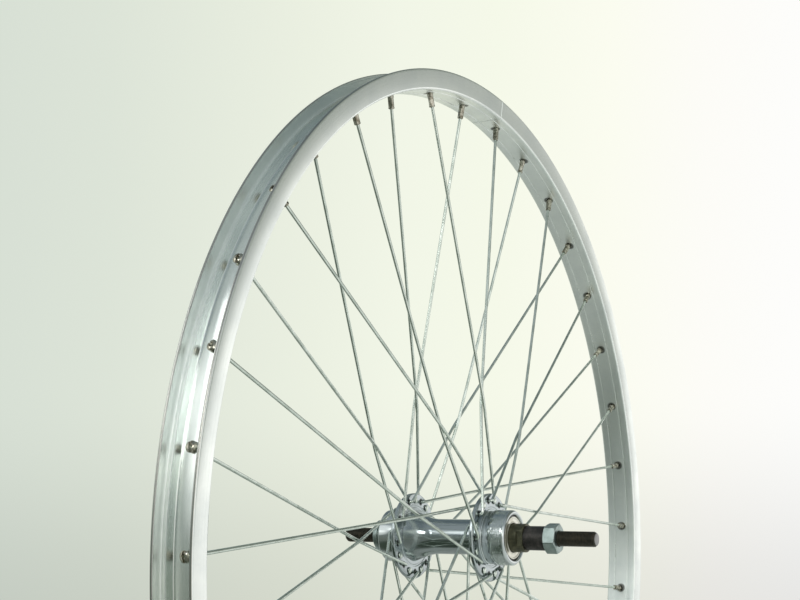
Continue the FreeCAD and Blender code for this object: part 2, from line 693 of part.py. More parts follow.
def make_retainer(side):
    """Cage: a ring with one finger between each two balls."""
    outer = "Worked.cage_ring_outer"
    inner = "Worked.cage_ring_outer - Sizes.cage_ring_width"
    high = from_end(side, "Sizes.race_rim_inset + Sizes.cage_cap_gap")
    low = from_end(side, "Sizes.race_rim_inset + Sizes.cage_cap_gap + Sizes.cage_ring_thickness")
    body = turned(side + "_ball_retainer", [(inner, low), (outer, low), (outer, high), (inner, high)])
    finger = body.newObject("PartDesign::AdditiveBox", side + "_finger")
    sign = SIDES[side]
    half_step = 180 / size("ball_count")
    outward = rim_direction(half_step)
    turn = Rotation(Y_AXIS, -half_step)
    finger_outer = size("cage_ring_outer") - size("cage_finger_sink")
    ring_face = size(side + "_shell_end") - size("race_rim_inset") - size("cage_cap_gap")
    tip = sign * (ring_face - size("cage_finger_length"))
    start = min(tip, sign * ring_face)
    across = turn.multVec(Vector(0, 0, -size("cage_finger_width") / 2))
    corner = outward * (finger_outer - size("cage_finger_depth")) + across
    corner.y = start
    finger.Placement = Placement(corner, turn)
    bound(finger, Length="Sizes.cage_finger_depth", Width="Sizes.cage_finger_length",
          Height="Sizes.cage_finger_width")
    doc.recompute()
    around(body, [finger], "Sizes.ball_count")
    return keep(side + "_ball_retainer", body)


# ---------------------------------------------------------------- axle group

def make_axle():
    """Solid axle with chamfered ends; between the locknuts it is drawn at its thread's pitch line."""
    radius, end = "Sizes.axle_diameter / 2", "Sizes.axle_length / 2"
    pitch, nut_face = "Sizes.axle_pitch_diameter / 2", "Sizes.over_locknuts / 2"
    thin = f"{radius} - Sizes.axle_chamfer"
    short = f"{end} - Sizes.axle_chamfer"
    return keep("axle", turned("axle", [
        ("0", f"-({end})"), (thin, f"-({end})"), (radius, f"-({short})"),
        (radius, f"-({nut_face})"), (pitch, f"-({nut_face})"), (pitch, nut_face), (radius, nut_face),
        (radius, short), (thin, end), ("0", end),
    ]))


def cut_flats(body, side, outer_face):
    """Two spanner flats at the outer end of a cone."""
    width = size("cone_diameter")
    length = size("cone_flats_length")
    start = SIDES[side] * outer_face - (length if side == "nondrive" else 0)
    for number, sign in enumerate((-1, 1)):
        flat = body.newObject("PartDesign::SubtractiveBox", f"{side}_cone_flat_{number}")
        low = sign * size("cone_flats") / 2 - (0 if sign > 0 else width)
        flat.Placement = Placement(Vector(low, start, -width / 2), Rotation())
        bound(flat, Length="Sizes.cone_diameter", Width="Sizes.cone_flats_length",
              Height="Sizes.cone_diameter")
    doc.recompute()


def make_cone(side, end_cell):
    """Bearing cone with its ball track and spanner flats, screwed on the axle."""
    bore = "Sizes.axle_pitch_diameter / 2"
    neck = "Sizes.ball_circle / 2 - Worked.groove_radius"
    skin = "Sizes.cone_diameter / 2"
    nose = from_end(side, "Sizes.ball_inset + Sizes.cone_nose")
    middle = from_end(side, "Sizes.ball_inset")
    end = f"{SIDES[side]} * {end_cell}"
    body = turned(side + "_cone", [
        (bore, nose), (neck, nose), (neck, middle), (skin, middle), (skin, end), (bore, end),
    ])
    cut_ball_groove(body, side)
    cut_flats(body, side, size(end_cell.split(".")[1]))
    return keep(side + "_cone", body)


def make_sleeve(node, side, inner, outer, diameter):
    """Plain ring on the axle between two places."""
    bore, skin = "Sizes.axle_pitch_diameter / 2", f"Sizes.{diameter} / 2"
    low, high = f"{SIDES[side]} * {inner}", f"{SIDES[side]} * {outer}"
    return keep(node, turned(node, [(bore, low), (skin, low), (skin, high), (bore, high)]))


def make_nondrive_locknut():
    """Thin round nut, countersunk at its thread's mouth."""
    bore, skin = "Sizes.axle_pitch_diameter / 2", "Sizes.nondrive_locknut_diameter / 2"
    low, high = "Worked.nondrive_locknut_inner", "Sizes.over_locknuts / 2"
    mouth, mouth_floor = f"{bore} + Sizes.locknut_countersink", f"{high} - Sizes.locknut_countersink"
    return keep("nondrive_locknut", turned("nondrive_locknut", [
        (bore, low), (skin, low), (skin, high), (mouth, high), (bore, mouth_floor),
    ]))


def make_drive_locknut():
    """Hexagon nut with chamfered corners and a round outer face, countersunk at its thread's mouth."""
    bore = "Sizes.axle_pitch_diameter / 2"
    corner = "Sizes.locknut_flats / 2 / cos(30 deg)"
    face = "Sizes.locknut_washer_diameter / 2 - 0.6"
    drop = f"({corner} - ({face})) / 2"
    low, high = "Worked.drive_locknut_inner", "Sizes.over_locknuts / 2"
    mouth, mouth_floor = f"{bore} + Sizes.locknut_countersink", f"{high} - Sizes.locknut_countersink"
    disc = turned("drive_locknut_disc", [
        (bore, f"-({low})"), (face, f"-({low})"), (corner, f"-({low} + {drop})"),
        (corner, f"-({high} - {drop})"), (face, f"-({high})"), (mouth, f"-({high})"),
        (bore, f"-({mouth_floor})"),
    ])
    prism = doc.addObject("Part::Prism", "drive_locknut_hexagon")
    prism.Polygon = 6
    turn = Rotation(Y_AXIS, -size("locknut_turn"))
    prism.Placement = Placement(Vector(0, -size("over_locknuts") / 2, 0), turn.multiply(Z_TO_Y))
    bound(prism, Circumradius=corner, Height="Sizes.drive_locknut_thickness")
    nut = doc.addObject("Part::Common", "drive_locknut")
    nut.Base = disc
    nut.Tool = prism
    doc.recompute()
    return keep("drive_locknut", nut)


# ---------------------------------------------------------------- build, check, export

def check_document():
    """Stop if any object failed or any sub-part has no valid shape."""
    for item in doc.Objects:
        if {"Invalid", "Error"} & set(item.State):
            raise RuntimeError(f"{item.Name} did not compute: {item.State}")
    for node, item in exports.items():
        if item.Shape.isNull() or not item.Shape.isValid():
            raise RuntimeError(f"{node} has no valid shape")


def export_parts():
    os.makedirs("parts", exist_ok=True)
    for node, item in exports.items():
        item.Shape.exportStep(os.path.join("parts", node + ".step"))
        print(f"{node:24s} {len(item.Shape.Solids):3d} solids {item.Shape.Volume:12.1f} mm3")


make_rim()
make_joint_pins()
make_barrel()
for side_name in SIDES:
    make_flange(side_name)
    make_race(side_name)
    make_dust_cap(side_name)
    make_balls(side_name)
    make_retainer(side_name)
make_boss()
make_end_cup()
make_axle()
make_cone("drive", "Sizes.drive_cone_end")
make_cone("nondrive", "Worked.nondrive_cone_end")
make_sleeve("drive_spacer", "drive", "Sizes.drive_cone_end", "Worked.drive_locknut_inner", "spacer_diameter")
make_drive_locknut()
make_sleeve("nondrive_lockwasher", "nondrive", "Worked.nondrive_cone_end",
            "Worked.nondrive_locknut_inner", "lockwasher_diameter")
make_nondrive_locknut()
make_nipples()
make_spokes()
check_document()
export_parts()
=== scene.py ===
"""Looks of a bare rear bicycle wheel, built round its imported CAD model.

The frame is the model's own: the axle lies along Y, +Z is up, the drive side is -Y and the
origin is the centre of the wheel.  Lengths below are in mm, and meshes are made in metres.
"""
import math

import bmesh
import bpy
import numpy as np
from mathutils import Euler, Matrix, Quaternion, Vector


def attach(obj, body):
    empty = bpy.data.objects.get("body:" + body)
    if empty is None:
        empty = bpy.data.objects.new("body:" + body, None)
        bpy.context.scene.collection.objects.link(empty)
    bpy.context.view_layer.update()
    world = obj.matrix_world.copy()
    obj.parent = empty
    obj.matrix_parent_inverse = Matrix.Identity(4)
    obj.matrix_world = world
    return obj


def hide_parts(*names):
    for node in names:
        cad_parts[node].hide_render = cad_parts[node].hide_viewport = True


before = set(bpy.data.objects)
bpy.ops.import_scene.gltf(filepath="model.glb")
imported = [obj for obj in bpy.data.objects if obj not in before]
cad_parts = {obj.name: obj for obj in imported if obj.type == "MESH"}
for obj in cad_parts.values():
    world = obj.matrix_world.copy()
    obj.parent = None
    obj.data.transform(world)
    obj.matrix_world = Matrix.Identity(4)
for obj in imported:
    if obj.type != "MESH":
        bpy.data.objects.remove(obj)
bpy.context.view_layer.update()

MM = 0.001
SIDES = {"drive": -1, "nondrive": 1}

# ---------------------------------------------------------------- sizes in mm
# They are the CAD model's own, except that NIPPLE_REACH and LOCKNUT_FACE are smaller here.
# The two thread pitches and the floor have no counterpart there.

RIM_OUTER, RIM_INNER = 301.5, 288.4
BEAD_SEAT, WELL_RADIUS = 295.0, 290.6
RIM_HALF_WIDTH, RIM_BASE_HALF = 12.3, 11.6
SEAT_OUTER_Y, SEAT_INNER_Y, WELL_HALF = 10.7, 8.1, 6.8
JOINT_ANGLE, VALVE_ANGLE, VALVE_RADIUS = 83.0, -85.0, 4.25
SPOKE_COUNT, RIM_STEP, HUB_TURN = 36, 10.0, 60.0
SPOKE_RADIUS, SPOKE_HOLE_RADIUS, HOLE_CIRCLE = 1.0, 1.3, 23.5
HOLE_STAGGER, ELBOW_RADIUS, ELBOW_START = 0.6, 1.9, 1.9
CROSS_BEND_RADIUS, CROSS_LIFT, HEAD_FACE = 60.0, 1.1, 1.45
NIPPLE_RADIUS, NIPPLE_PLAY, NIPPLE_HEAD = 2.0, 0.2, 3.0
NIPPLE_LIFT, NIPPLE_RISE, NIPPLE_DOME, NIPPLE_REACH = 0.25, 1.2, 0.9, 11.4
NIPPLE_BORE = 1.05
FLANGE_AT = {"drive": 16.6, "nondrive": 39.4}
SHELL_END = {"drive": 34.4, "nondrive": 57.0}
FLANGE_RADIUS, FLANGE_HALF, SHELL_BORE = 28.0, 1.4, 9.0
BARREL_WAIST, DRIVE_ROOT, NONDRIVE_ROOT = 11.3, 12.3, 16.5
DRIVE_FLARE, NONDRIVE_FLARE = 6.0, 19.0
BOSS_RADIUS, BOSS_RELIEF, RACE_SEAT = 17.4625, 16.4625, 14.62
END_CUP_RADIUS = 17.0
RACE_DEPTH, BOSS_THREAD_PITCH = 9.4, 1.0583
CAP_BORE, CAP_RADIUS, CAP_INSET = 9.4, 13.9, 1.4
AXLE_RADIUS, AXLE_END, AXLE_CHAMFER, AXLE_PITCH = 4.7625, 90.0, 1.0, 0.977
CONE_RADIUS, CONE_FLAT, CONE_FLAT_LENGTH = 9.0, 7.5, 4.0
CONE_END = {"drive": 43.0, "nondrive": 61.0}
SPACER_RADIUS = 7.6
LOCKNUT_INNER, LOCKNUT_OUTER, LOCKNUT_APOTHEM, LOCKNUT_TURN = 57.0, 65.0, 8.5, 15.0
LOCKNUT_FACE = 8.2
THIN_NUT_INNER, THIN_NUT_OUTER, THIN_NUT_RADIUS = 61.8, 65.0, 10.0
LOCKWASHER_RADIUS = 9.2
FLOOR_LEVEL = -RIM_OUTER * MM - 0.0002


# ---------------------------------------------------------------- mesh helpers

def add_object(name, data):
    thing = bpy.data.objects.new(name, data)
    bpy.context.scene.collection.objects.link(thing)
    return thing


def add_piece(name, points, faces):
    """A mesh object from points in mm: coincident points are merged, faces turned outwards."""
    mesh = bpy.data.meshes.new(name)
    mesh.from_pydata([tuple(p) for p in np.asarray(points, float) * MM], [], faces)
    work = bmesh.new()
    work.from_mesh(mesh)
    bmesh.ops.remove_doubles(work, verts=work.verts, dist=2e-7)
    bmesh.ops.dissolve_degenerate(work, edges=work.edges, dist=1e-7)
    bmesh.ops.recalc_face_normals(work, faces=work.faces)
    work.to_mesh(mesh)
    work.free()
    return add_object(name, mesh)


def rounded(corners, steps=5):
    """Replace each corner (r, y, rounding) of a closed outline by an arc."""
    points = []
    count = len(corners)
    for i, (r, y, rounding) in enumerate(corners):
        here = np.array([r, y])
        if rounding <= 0:
            points.append(here)
            continue
        before = np.array(corners[i - 1][:2]) - here
        after = np.array(corners[(i + 1) % count][:2]) - here
        before /= np.linalg.norm(before)
        after /= np.linalg.norm(after)
        half = math.acos(max(-1, min(1, before @ after))) / 2
        reach = rounding / math.tan(half)
        middle = before + after
        centre = here + middle / np.linalg.norm(middle) * rounding / math.sin(half)
        first, last = here + before * reach, here + after * reach
        start = math.atan2(*(first - centre)[::-1])
        sweep = math.atan2(*(last - centre)[::-1]) - start
        sweep = (sweep + math.pi) % math.tau - math.pi
        for step in range(steps + 1):
            angle = start + sweep * step / steps
            points.append(centre + rounding * np.array([math.cos(angle), math.sin(angle)]))
    return np.array(points)


def ring_faces(rings, around, closed):
    """Quads between rings of points, each ring closed on itself."""
    faces = []
    for i in range(rings if closed else rings - 1):
        here, following = i * around, (i + 1) % rings * around
        for j in range(around):
            k = (j + 1) % around
            faces.append((here + j, here + k, following + k, following + j))
    return faces


def full_turn(around):
    return np.linspace(0, math.tau, around, endpoint=False)


def turned(name, rows, angles, closed=True):
    """A piece made of rings about Y; a row is its place and one radius, or a radius for each angle."""
    around = len(angles)
    rings = [np.stack([r * np.cos(angles), np.full(around, y), r * np.sin(angles)], 1) for r, y in rows]
    return add_piece(name, np.concatenate(rings), ring_faces(len(rows), around, closed))


def spun(name, outline, around, limit=None):
    """A piece turned about Y from an outline of (r, y); limit(angle, r, y) may pull r in."""
    angles = full_turn(around)
    rows = outline
    if limit is not None:
        rows = [(np.array([min(r, limit(a, r, y)) for a in angles]), y) for r, y in outline]
    return turned(name, rows, angles)


def thread_rows(places, crest, depth, pitch, angles):
    """Rows of a fine screw thread that fades out at both ends."""
    rows = []
    for y in places:
        phase = (y / pitch + angles / math.tau) % 1.0
        wave = 0.5 + 0.5 * np.cos(math.tau * phase)
        fade = min(1.0, abs(y - places[0]) / pitch, abs(places[-1] - y) / pitch)
        rows.append((crest - depth * fade * wave ** 1.3, y))
    return rows


def shade(piece, degrees):
    """Smooth shading with sharp edges above an angle."""
    piece.data.shade_smooth()
    piece.data.set_sharp_from_angle(angle=math.radians(degrees))


def combine(piece, other, operation):
    """Apply a boolean with another object, which is then removed."""
    modifier = piece.modifiers.new("combine", "BOOLEAN")
    modifier.operation = operation
    modifier.solver = "EXACT"
    modifier.object = other
    bpy.context.view_layer.update()
    graph = bpy.context.evaluated_depsgraph_get()
    mesh = bpy.data.meshes.new_from_object(piece.evaluated_get(graph))
    piece.modifiers.clear()
    old = piece.data
    piece.data = mesh
    mesh.name = piece.name
    bpy.data.meshes.remove(old)
    bpy.data.meshes.remove(other.data)


def mesh_arrays(piece):
    """Points in mm and faces of a piece."""
    points = np.array([v.co for v in piece.data.vertices]) / MM
    return points, [tuple(p.vertices) for p in piece.data.polygons]


def copies(name, source, matrices):
    """One piece made of copies of another at the given placements, in mm."""
    points, faces = mesh_arrays(source)
    all_points, all_faces = [], []
    for matrix in matrices:
        turn = np.array(matrix.to_3x3())
        shift = np.array(matrix.translation)
        first = len(points) * len(all_points)
        all_points.append(points @ turn.T + shift)
        all_faces += [tuple(first + i for i in face) for face in faces]
    return add_piece(name, np.concatenate(all_points), all_faces)


def remove(piece):
    """Delete a helper piece together with its mesh."""
    bpy.data.meshes.remove(piece.data)


# ---------------------------------------------------------------- lacing, as in the CAD model

def rim_direction(degrees):
    return Vector((math.cos(math.radians(degrees)), 0, math.sin(math.radians(degrees))))


def rim_angle(index):
    return 180 - RIM_STEP * index


def lacing(index):
    """Side, turn direction and elbow side of a spoke."""
    side = "drive" if index % 2 == 0 else "nondrive"
    turn = 1 if index % 4 in (1, 2) else -1
    outboard = turn if side == "drive" else -turn
    return side, turn, outboard


def spoke_frame(index):
    """Origin and X direction of a spoke's own frame, and its straight length."""
    side, turn, _ = lacing(index)
    hub_point = rim_direction(rim_angle(index) + turn * HUB_TURN) * HOLE_CIRCLE
    rim_point = rim_direction(rim_angle(index)) * WELL_RADIUS
    run = rim_point - hub_point
    hub_point.y = SIDES[side] * FLANGE_AT[side]
    return hub_point, run.normalized(), run.length


def frame_matrix(origin, x_axis):
    """Matrix with its X along x_axis and its Y along the axle."""
    y_axis = Vector((0, 1, 0))
    z_axis = x_axis.cross(y_axis)
    turn = Matrix((x_axis, y_axis, z_axis)).transposed().to_4x4()
    return Matrix.Translation(origin) @ turn


def spoke_marks(index):
    """Crossing corner and rim end of a spoke's centre line, in its own frame."""
    side, _, outboard = lacing(index)
    run = spoke_frame(index)[2]
    fall = FLANGE_AT[side] - HOLE_STAGGER
    hub_part = HOLE_CIRCLE * math.sin(math.radians(HUB_TURN - RIM_STEP))
    rim_part = WELL_RADIUS * math.sin(math.radians(RIM_STEP))
    share = hub_part / (hub_part + rim_part)
    corner = Vector((share * run, SIDES[side] * (-fall * share - outboard * CROSS_LIFT), 0))
    return corner, Vector((run, -SIDES[side] * fall, 0))


def nipple_matrix(index):
    """Placement of a nipple: its origin on the well floor, its Y outward along the spoke."""
    origin, x_axis, _ = spoke_frame(index)
    corner, end = spoke_marks(index)
    frame_of = frame_matrix(origin, x_axis)
    along = (frame_of.to_3x3() @ (end - corner)).normalized()
    turn = Vector((0, 1, 0)).rotation_difference(along)
    spin = Quaternion((0, 1, 0), math.radians(37 * index % 90))
    return Matrix.Translation(frame_of @ end) @ turn.to_matrix().to_4x4() @ spin.to_matrix().to_4x4()


# ---------------------------------------------------------------- rim

def rim_outline():
    """Half section from the hub side over the flange to the well, and its mirror image."""
    groove, groove_depth = 5.35, 0.4
    half = [
        (RIM_INNER, groove - 0.5, 0.1), (RIM_INNER + groove_depth, groove - 0.3, 0.1),
        (RIM_INNER + groove_depth, groove + 0.3, 0.1), (RIM_INNER, groove + 0.5, 0.1),
        (RIM_INNER, RIM_BASE_HALF, 1.5),
        (RIM_OUTER - 1.6, RIM_HALF_WIDTH - 0.06, 0.3),
        (RIM_OUTER, RIM_HALF_WIDTH, 0.72), (RIM_OUTER, SEAT_OUTER_Y - 0.1, 0.5),
        (RIM_OUTER - 1.4, SEAT_OUTER_Y - 0.1, 0.25), (RIM_OUTER - 1.8, SEAT_OUTER_Y + 0.12, 0.3),
        (BEAD_SEAT, SEAT_OUTER_Y, 0.7),
        (BEAD_SEAT + 0.05, SEAT_INNER_Y + 1.1, 0.3), (BEAD_SEAT + 0.4, SEAT_INNER_Y + 0.7, 0.25),
        (BEAD_SEAT + 0.35, SEAT_INNER_Y, 0.35), (WELL_RADIUS, WELL_HALF, 0.9),
    ]
    mirrored = [(r, -y, rounding) for r, y, rounding in reversed(half)]
    return rounded(half + mirrored, steps=4)


def make_rim():
    """Extruded section turned to a hoop, its joint seam, spoke holes and valve hole."""
    outline = rim_outline()
    step, seam_half, seam_depth = 0.5, 0.05, 0.22
    seam = [JOINT_ANGLE + share * seam_half for share in (-1, -0.5, 0.5, 1)]
    hoop = [a for a in np.arange(0, 360, step) if abs(a - JOINT_ANGLE) > 2 * seam_half]
    sunk = offset_outline(outline, seam_depth)
    rows = []
    for degrees in sorted(hoop + seam):
        in_seam = abs(degrees - JOINT_ANGLE) < seam_half * 0.75
        shape = sunk if in_seam else outline
        direction = np.array(rim_direction(degrees))
        rows.append(shape[:, :1] * direction + shape[:, 1:] * np.array([0, 1.0, 0]))
    rim = add_piece("rim_hoop", np.concatenate(rows), ring_faces(len(rows), len(outline), True))
    combine(rim, rim_drills(), "DIFFERENCE")
    shade(rim, 28)
    return rim


def offset_outline(outline, depth):
    """The outline moved inwards by a depth."""
    ahead = np.roll(outline, -1, 0) - np.roll(outline, 1, 0)
    normal = np.stack([-ahead[:, 1], ahead[:, 0]], 1)
    normal /= np.linalg.norm(normal, axis=1)[:, None]
    area = np.sum(outline[:, 0] * np.roll(outline[:, 1], -1) - np.roll(outline[:, 0], -1) * outline[:, 1])
    return outline + normal * depth * (1 if area > 0 else -1)


def rim_drills():
    """All cutters for the rim as one object: spoke holes countersunk on the hub side, valve hole."""
    radius, reach = NIPPLE_RADIUS + NIPPLE_PLAY, 8
    mouth = radius + 0.9
    bore = [(0, -reach), (mouth, -reach), (mouth, -2.7), (radius, -1.7), (radius, reach), (0, reach)]
    drill = spun("drill", bore, 32)
    spokes = copies("spoke_drills", drill, [nipple_matrix(i) for i in range(SPOKE_COUNT)])
    outward = rim_direction(VALVE_ANGLE)
    bore = [(0, -reach), (VALVE_RADIUS, -reach), (VALVE_RADIUS, reach), (0, reach)]
    valve = spun("valve_drill", bore, 48)
    turn = Vector((0, 1, 0)).rotation_difference(outward).to_matrix().to_4x4()
    placed_valve = copies("placed_valve_drill", valve, [Matrix.Translation(outward * WELL_RADIUS) @ turn])
    points, faces = mesh_arrays(spokes)
    valve_points, valve_faces = mesh_arrays(placed_valve)
    faces += [tuple(i + len(points) for i in face) for face in valve_faces]
    for piece in (drill, spokes, valve, placed_valve):
        remove(piece)
    return add_piece("rim_drills", np.concatenate([points, valve_points]), faces)


# ---------------------------------------------------------------- spokes and nipples

def arc_points(centre, first, last, steps):
    """Points of the shorter arc about a centre from one point to another."""
    start = math.atan2(first.y - centre.y, first.x - centre.x)
    sweep = math.atan2(last.y - centre.y, last.x - centre.x) - start
    sweep = (sweep + math.pi) % math.tau - math.pi
    radius = (first - centre).length
    angles = [start + sweep * i / steps for i in range(steps + 1)]
    return [centre + Vector((math.cos(a), math.sin(a), 0)) * radius for a in angles]


def spoke_line(index):
    """Centre line of a spoke in its own frame: head, elbow, run, bend and run."""
    side, _, outboard = lacing(index)
    heading = SIDES[side] * outboard
    corner, end = spoke_marks(index)
    head = Vector((0, -heading * HEAD_FACE, 0))
    rise = Vector((0, heading * ELBOW_START, 0))
    centre = Vector((ELBOW_RADIUS, heading * ELBOW_START, 0))
    away = corner - centre
    lean = math.atan2(away.x, heading * away.y) + math.asin(ELBOW_RADIUS / away.length)
    leave = centre + Vector((-math.cos(lean), heading * math.sin(lean), 0)) * ELBOW_RADIUS
    back, ahead = (leave - corner).normalized(), (end - corner).normalized()
    half = back.angle(ahead) / 2
    reach = CROSS_BEND_RADIUS / math.tan(half)
    middle = (back + ahead).normalized() * CROSS_BEND_RADIUS / math.sin(half)
    bend = arc_points(corner + middle, corner + back * reach, corner + ahead * reach, 6)
    line = [head, rise] + arc_points(centre, rise, leave, 10)[1:] + bend + [end]
    return line, heading


def tube(line, radii):
    """Points and faces of a capped tube along a line that lies in the XY plane."""
    rings, up, sides = [], Vector((0, 0, 1)), 20
    for i, (point, radius) in enumerate(zip(line, radii)):
        before, after = line[max(i - 1, 0)], line[min(i + 1, len(line) - 1)]
        tangent = (after - before).normalized()
        across = up.cross(tangent)
        for j in range(sides):
            angle = math.tau * j / sides
            rings.append(point + (across * math.cos(angle) + up * math.sin(angle)) * radius)
    faces = ring_faces(len(line), sides, False)
    faces.append(tuple(range(sides)))
    faces.append(tuple((len(line) - 1) * sides + j for j in range(sides)))
    return rings, faces


def make_spoke(index):
    """One spoke: forged head, elbow and drawn wire, whose last part lies inside the nipple."""
    line, heading = spoke_line(index)
    outward = Vector((0, -heading, 0))
    neck, in_nipple = 0.25, 17.0
    head_shape = [(1.2, 0.7), (1.18, 1.4), (1.0, 1.85), (0.7, 2.1), (0.35, 2.1), (0.12, 1.7), (0.0, 1.15)]
    points = [line[0] + outward * height for height, _ in head_shape]
    radii = [radius for _, radius in head_shape]
    inner_part = line[-1] + (line[-2] - line[-1]).normalized() * in_nipple
    points += [line[0] - outward * neck] + line[1:-1] + [inner_part, line[-1]]
    radii += [SPOKE_RADIUS] * (len(points) - len(radii))
    rings, faces = tube(points, radii)
    origin, x_axis, _ = spoke_frame(index)
    matrix = frame_matrix(origin, x_axis)
    side = lacing(index)[0]
    piece = add_piece(f"wire_{side}_{index // 2 + 1:02d}", [matrix @ p for p in rings], faces)
    shade(piece, 40)
    return piece


def nipple_limit(angle, radius, y):
    """Square wrench flats on the lower part of a nipple's barrel."""
    flats_from, flats_to, half_width = -10.5, -4.6, 1.62
    if flats_from < y < flats_to:
        return half_width / max(abs(math.cos(angle)), abs(math.sin(angle)))
    return radius


def make_nipple():
    """One nipple along Y: chamfered foot, square flats, shank, head and screwdriver slot."""
    brim = NIPPLE_LIFT + NIPPLE_RISE
    top = brim + NIPPLE_DOME
    under = NIPPLE_LIFT + NIPPLE_HEAD - NIPPLE_RADIUS
    foot, barrel, shoulder = 1.6, 1.95, 1.98
    corners = [
        (NIPPLE_BORE, -NIPPLE_REACH, 0.05), (foot, -NIPPLE_REACH, 0.1),
        (barrel, -NIPPLE_REACH + 0.4, 0.1), (barrel, -10.52, 0.0), (barrel, -10.35, 0.0),
        (barrel, -9.0, 0.0), (barrel, -7.0, 0.0),
        (shoulder, -4.8, 0.0), (NIPPLE_RADIUS, -4.5, 0.0),
        (NIPPLE_RADIUS, NIPPLE_LIFT, 0.1), (NIPPLE_HEAD, under, 0.08), (NIPPLE_HEAD, brim, 0.12),
        (NIPPLE_HEAD - 0.9, brim + 0.62, 0.5), (NIPPLE_BORE + 0.2, top, 0.1),
        (NIPPLE_BORE, top - 0.2, 0.0),
    ]
    nipple = spun("nipple_base", rounded(corners, steps=3), 48, limit=nipple_limit)
    slot_half, slot_floor = 0.5, brim - 0.35
    corners = [(x, y, z) for x in (-slot_half, slot_half) for y in (slot_floor, top + 1) for z in (-4, 4)]
    faces = [(0, 1, 3, 2), (4, 5, 7, 6), (0, 1, 5, 4), (2, 3, 7, 6), (0, 2, 6, 4), (1, 3, 7, 5)]
    cutter = add_piece("slot_cutter", corners, faces)
    combine(nipple, cutter, "DIFFERENCE")
    return nipple


def make_nipples():
    """The nipples of each side as one piece, by side."""
    base = make_nipple()
    made = {}
    for side in SIDES:
        places = [nipple_matrix(i) for i in range(SPOKE_COUNT) if lacing(i)[0] == side]
        made[side] = copies(f"nipple_set_{side}", base, places)
        shade(made[side], 30)
    remove(base)
    return made


# ---------------------------------------------------------------- hub shell

def make_barrel():
    """Waisted tube that flares smoothly into both flanges."""
    drive, other = -(FLANGE_AT["drive"] - FLANGE_HALF), FLANGE_AT["nondrive"] - FLANGE_HALF
    drive_steps, other_steps = 16, 40
    skin = []
    for i in range(drive_steps + 1):
        t = 1 - i / drive_steps
        flare = (DRIVE_ROOT - BARREL_WAIST) * t ** 2
        skin.append((BARREL_WAIST + flare, drive + DRIVE_FLARE * (1 - t)))
    for i in range(other_steps + 1):
        t = i / other_steps
        flare = (NONDRIVE_ROOT - BARREL_WAIST) * t ** 1.7
        skin.append((BARREL_WAIST + flare, other - NONDRIVE_FLARE * (1 - t)))
    outline = [(SHELL_BORE, drive)] + skin + [(SHELL_BORE, other)]
    piece = spun("barrel_shell", outline, 192)
    shade(piece, 35)
    return piece


def make_flange(side):
    """Pressed disc: rounded edge, a shallow groove in each face and a ring of chamfered spoke holes."""
    sign = SIDES[side]
    middle = sign * FLANGE_AT[side]
    groove = 15.2 if side == "drive" else 18.4
    floor, outer_floor = -FLANGE_HALF + 0.22, FLANGE_HALF - 0.25
    corners = [
        (SHELL_BORE, -FLANGE_HALF, 0), (groove, -FLANGE_HALF, 0.0), (groove + 0.3, floor, 0.2),
        (groove + 1.2, floor, 0.3), (groove + 1.7, -FLANGE_HALF, 0.3),
        (FLANGE_RADIUS, -FLANGE_HALF, 0.9), (FLANGE_RADIUS, FLANGE_HALF, 0.9),
        (19.6, FLANGE_HALF, 0.3), (19.1, outer_floor, 0.2), (18.2, outer_floor, 0.2),
        (17.9, FLANGE_HALF, 0.0), (SHELL_BORE, FLANGE_HALF, 0),
    ]
    outline = [(r, middle + sign * y) for r, y in rounded(corners, steps=5)]
    piece = spun(f"flange_plate_{side}", outline, 240)
    edge = SPOKE_HOLE_RADIUS + 0.45
    lip, mouth, reach = FLANGE_HALF - 0.42, edge + 1.58, 3
    hole = [(0, -reach), (mouth, -reach), (edge, -FLANGE_HALF), (SPOKE_HOLE_RADIUS, -lip),
            (SPOKE_HOLE_RADIUS, lip), (edge, FLANGE_HALF), (mouth, reach), (0, reach)]
    drill = spun("flange_drill", hole, 28)
    first = 0 if side == "drive" else RIM_STEP
    places = []
    for k in range(SPOKE_COUNT // 2):
        at = rim_direction(first + 2 * RIM_STEP * k) * HOLE_CIRCLE
        places.append(Matrix.Translation(Vector((at.x, middle, at.z))))
    drills = copies("flange_drills", drill, places)
    remove(drill)
    combine(piece, drills, "DIFFERENCE")
    shade(piece, 30)
    return piece


def make_boss():
    """Freewheel seat: run-out groove, fine thread, chamfered mouth and bearing bore."""
    face = -(FLANGE_AT["drive"] + FLANGE_HALF)
    end = -SHELL_END["drive"]
    step = face - 4.0
    before = [(SHELL_BORE, face), (BOSS_RELIEF + 0.5, face), (BOSS_RELIEF + 0.12, face - 0.15),
              (BOSS_RELIEF, face - 0.5), (BOSS_RELIEF, step + 0.15), (BOSS_RELIEF + 0.15, step),
              (BOSS_RADIUS - 0.15, step), (BOSS_RADIUS, step - 0.2), (BOSS_RADIUS, step - 2.3),
              (BOSS_RADIUS - 0.35, step - 2.5), (BOSS_RADIUS - 0.35, step - 3.0),
              (BOSS_RADIUS, step - 3.2)]
    angles, thread_depth = full_turn(144), 0.05
    places = np.linspace(step - 3.6, end + 2.1, 64)
    thread = thread_rows(places, BOSS_RADIUS, thread_depth, BOSS_THREAD_PITCH, angles)
    seat = -(SHELL_END["drive"] - RACE_DEPTH)
    after = [(BOSS_RADIUS, end + 1.6), (BOSS_RADIUS - 0.08, end + 1.1), (BOSS_RADIUS - 0.95, end + 0.12),
             (BOSS_RADIUS - 1.15, end), (RACE_SEAT + 0.3, end), (RACE_SEAT, end + 0.3),
             (RACE_SEAT, seat), (SHELL_BORE, seat)]
    piece = turned("threaded_boss", before + thread + after, angles)
    shade(piece, 50)
    return piece


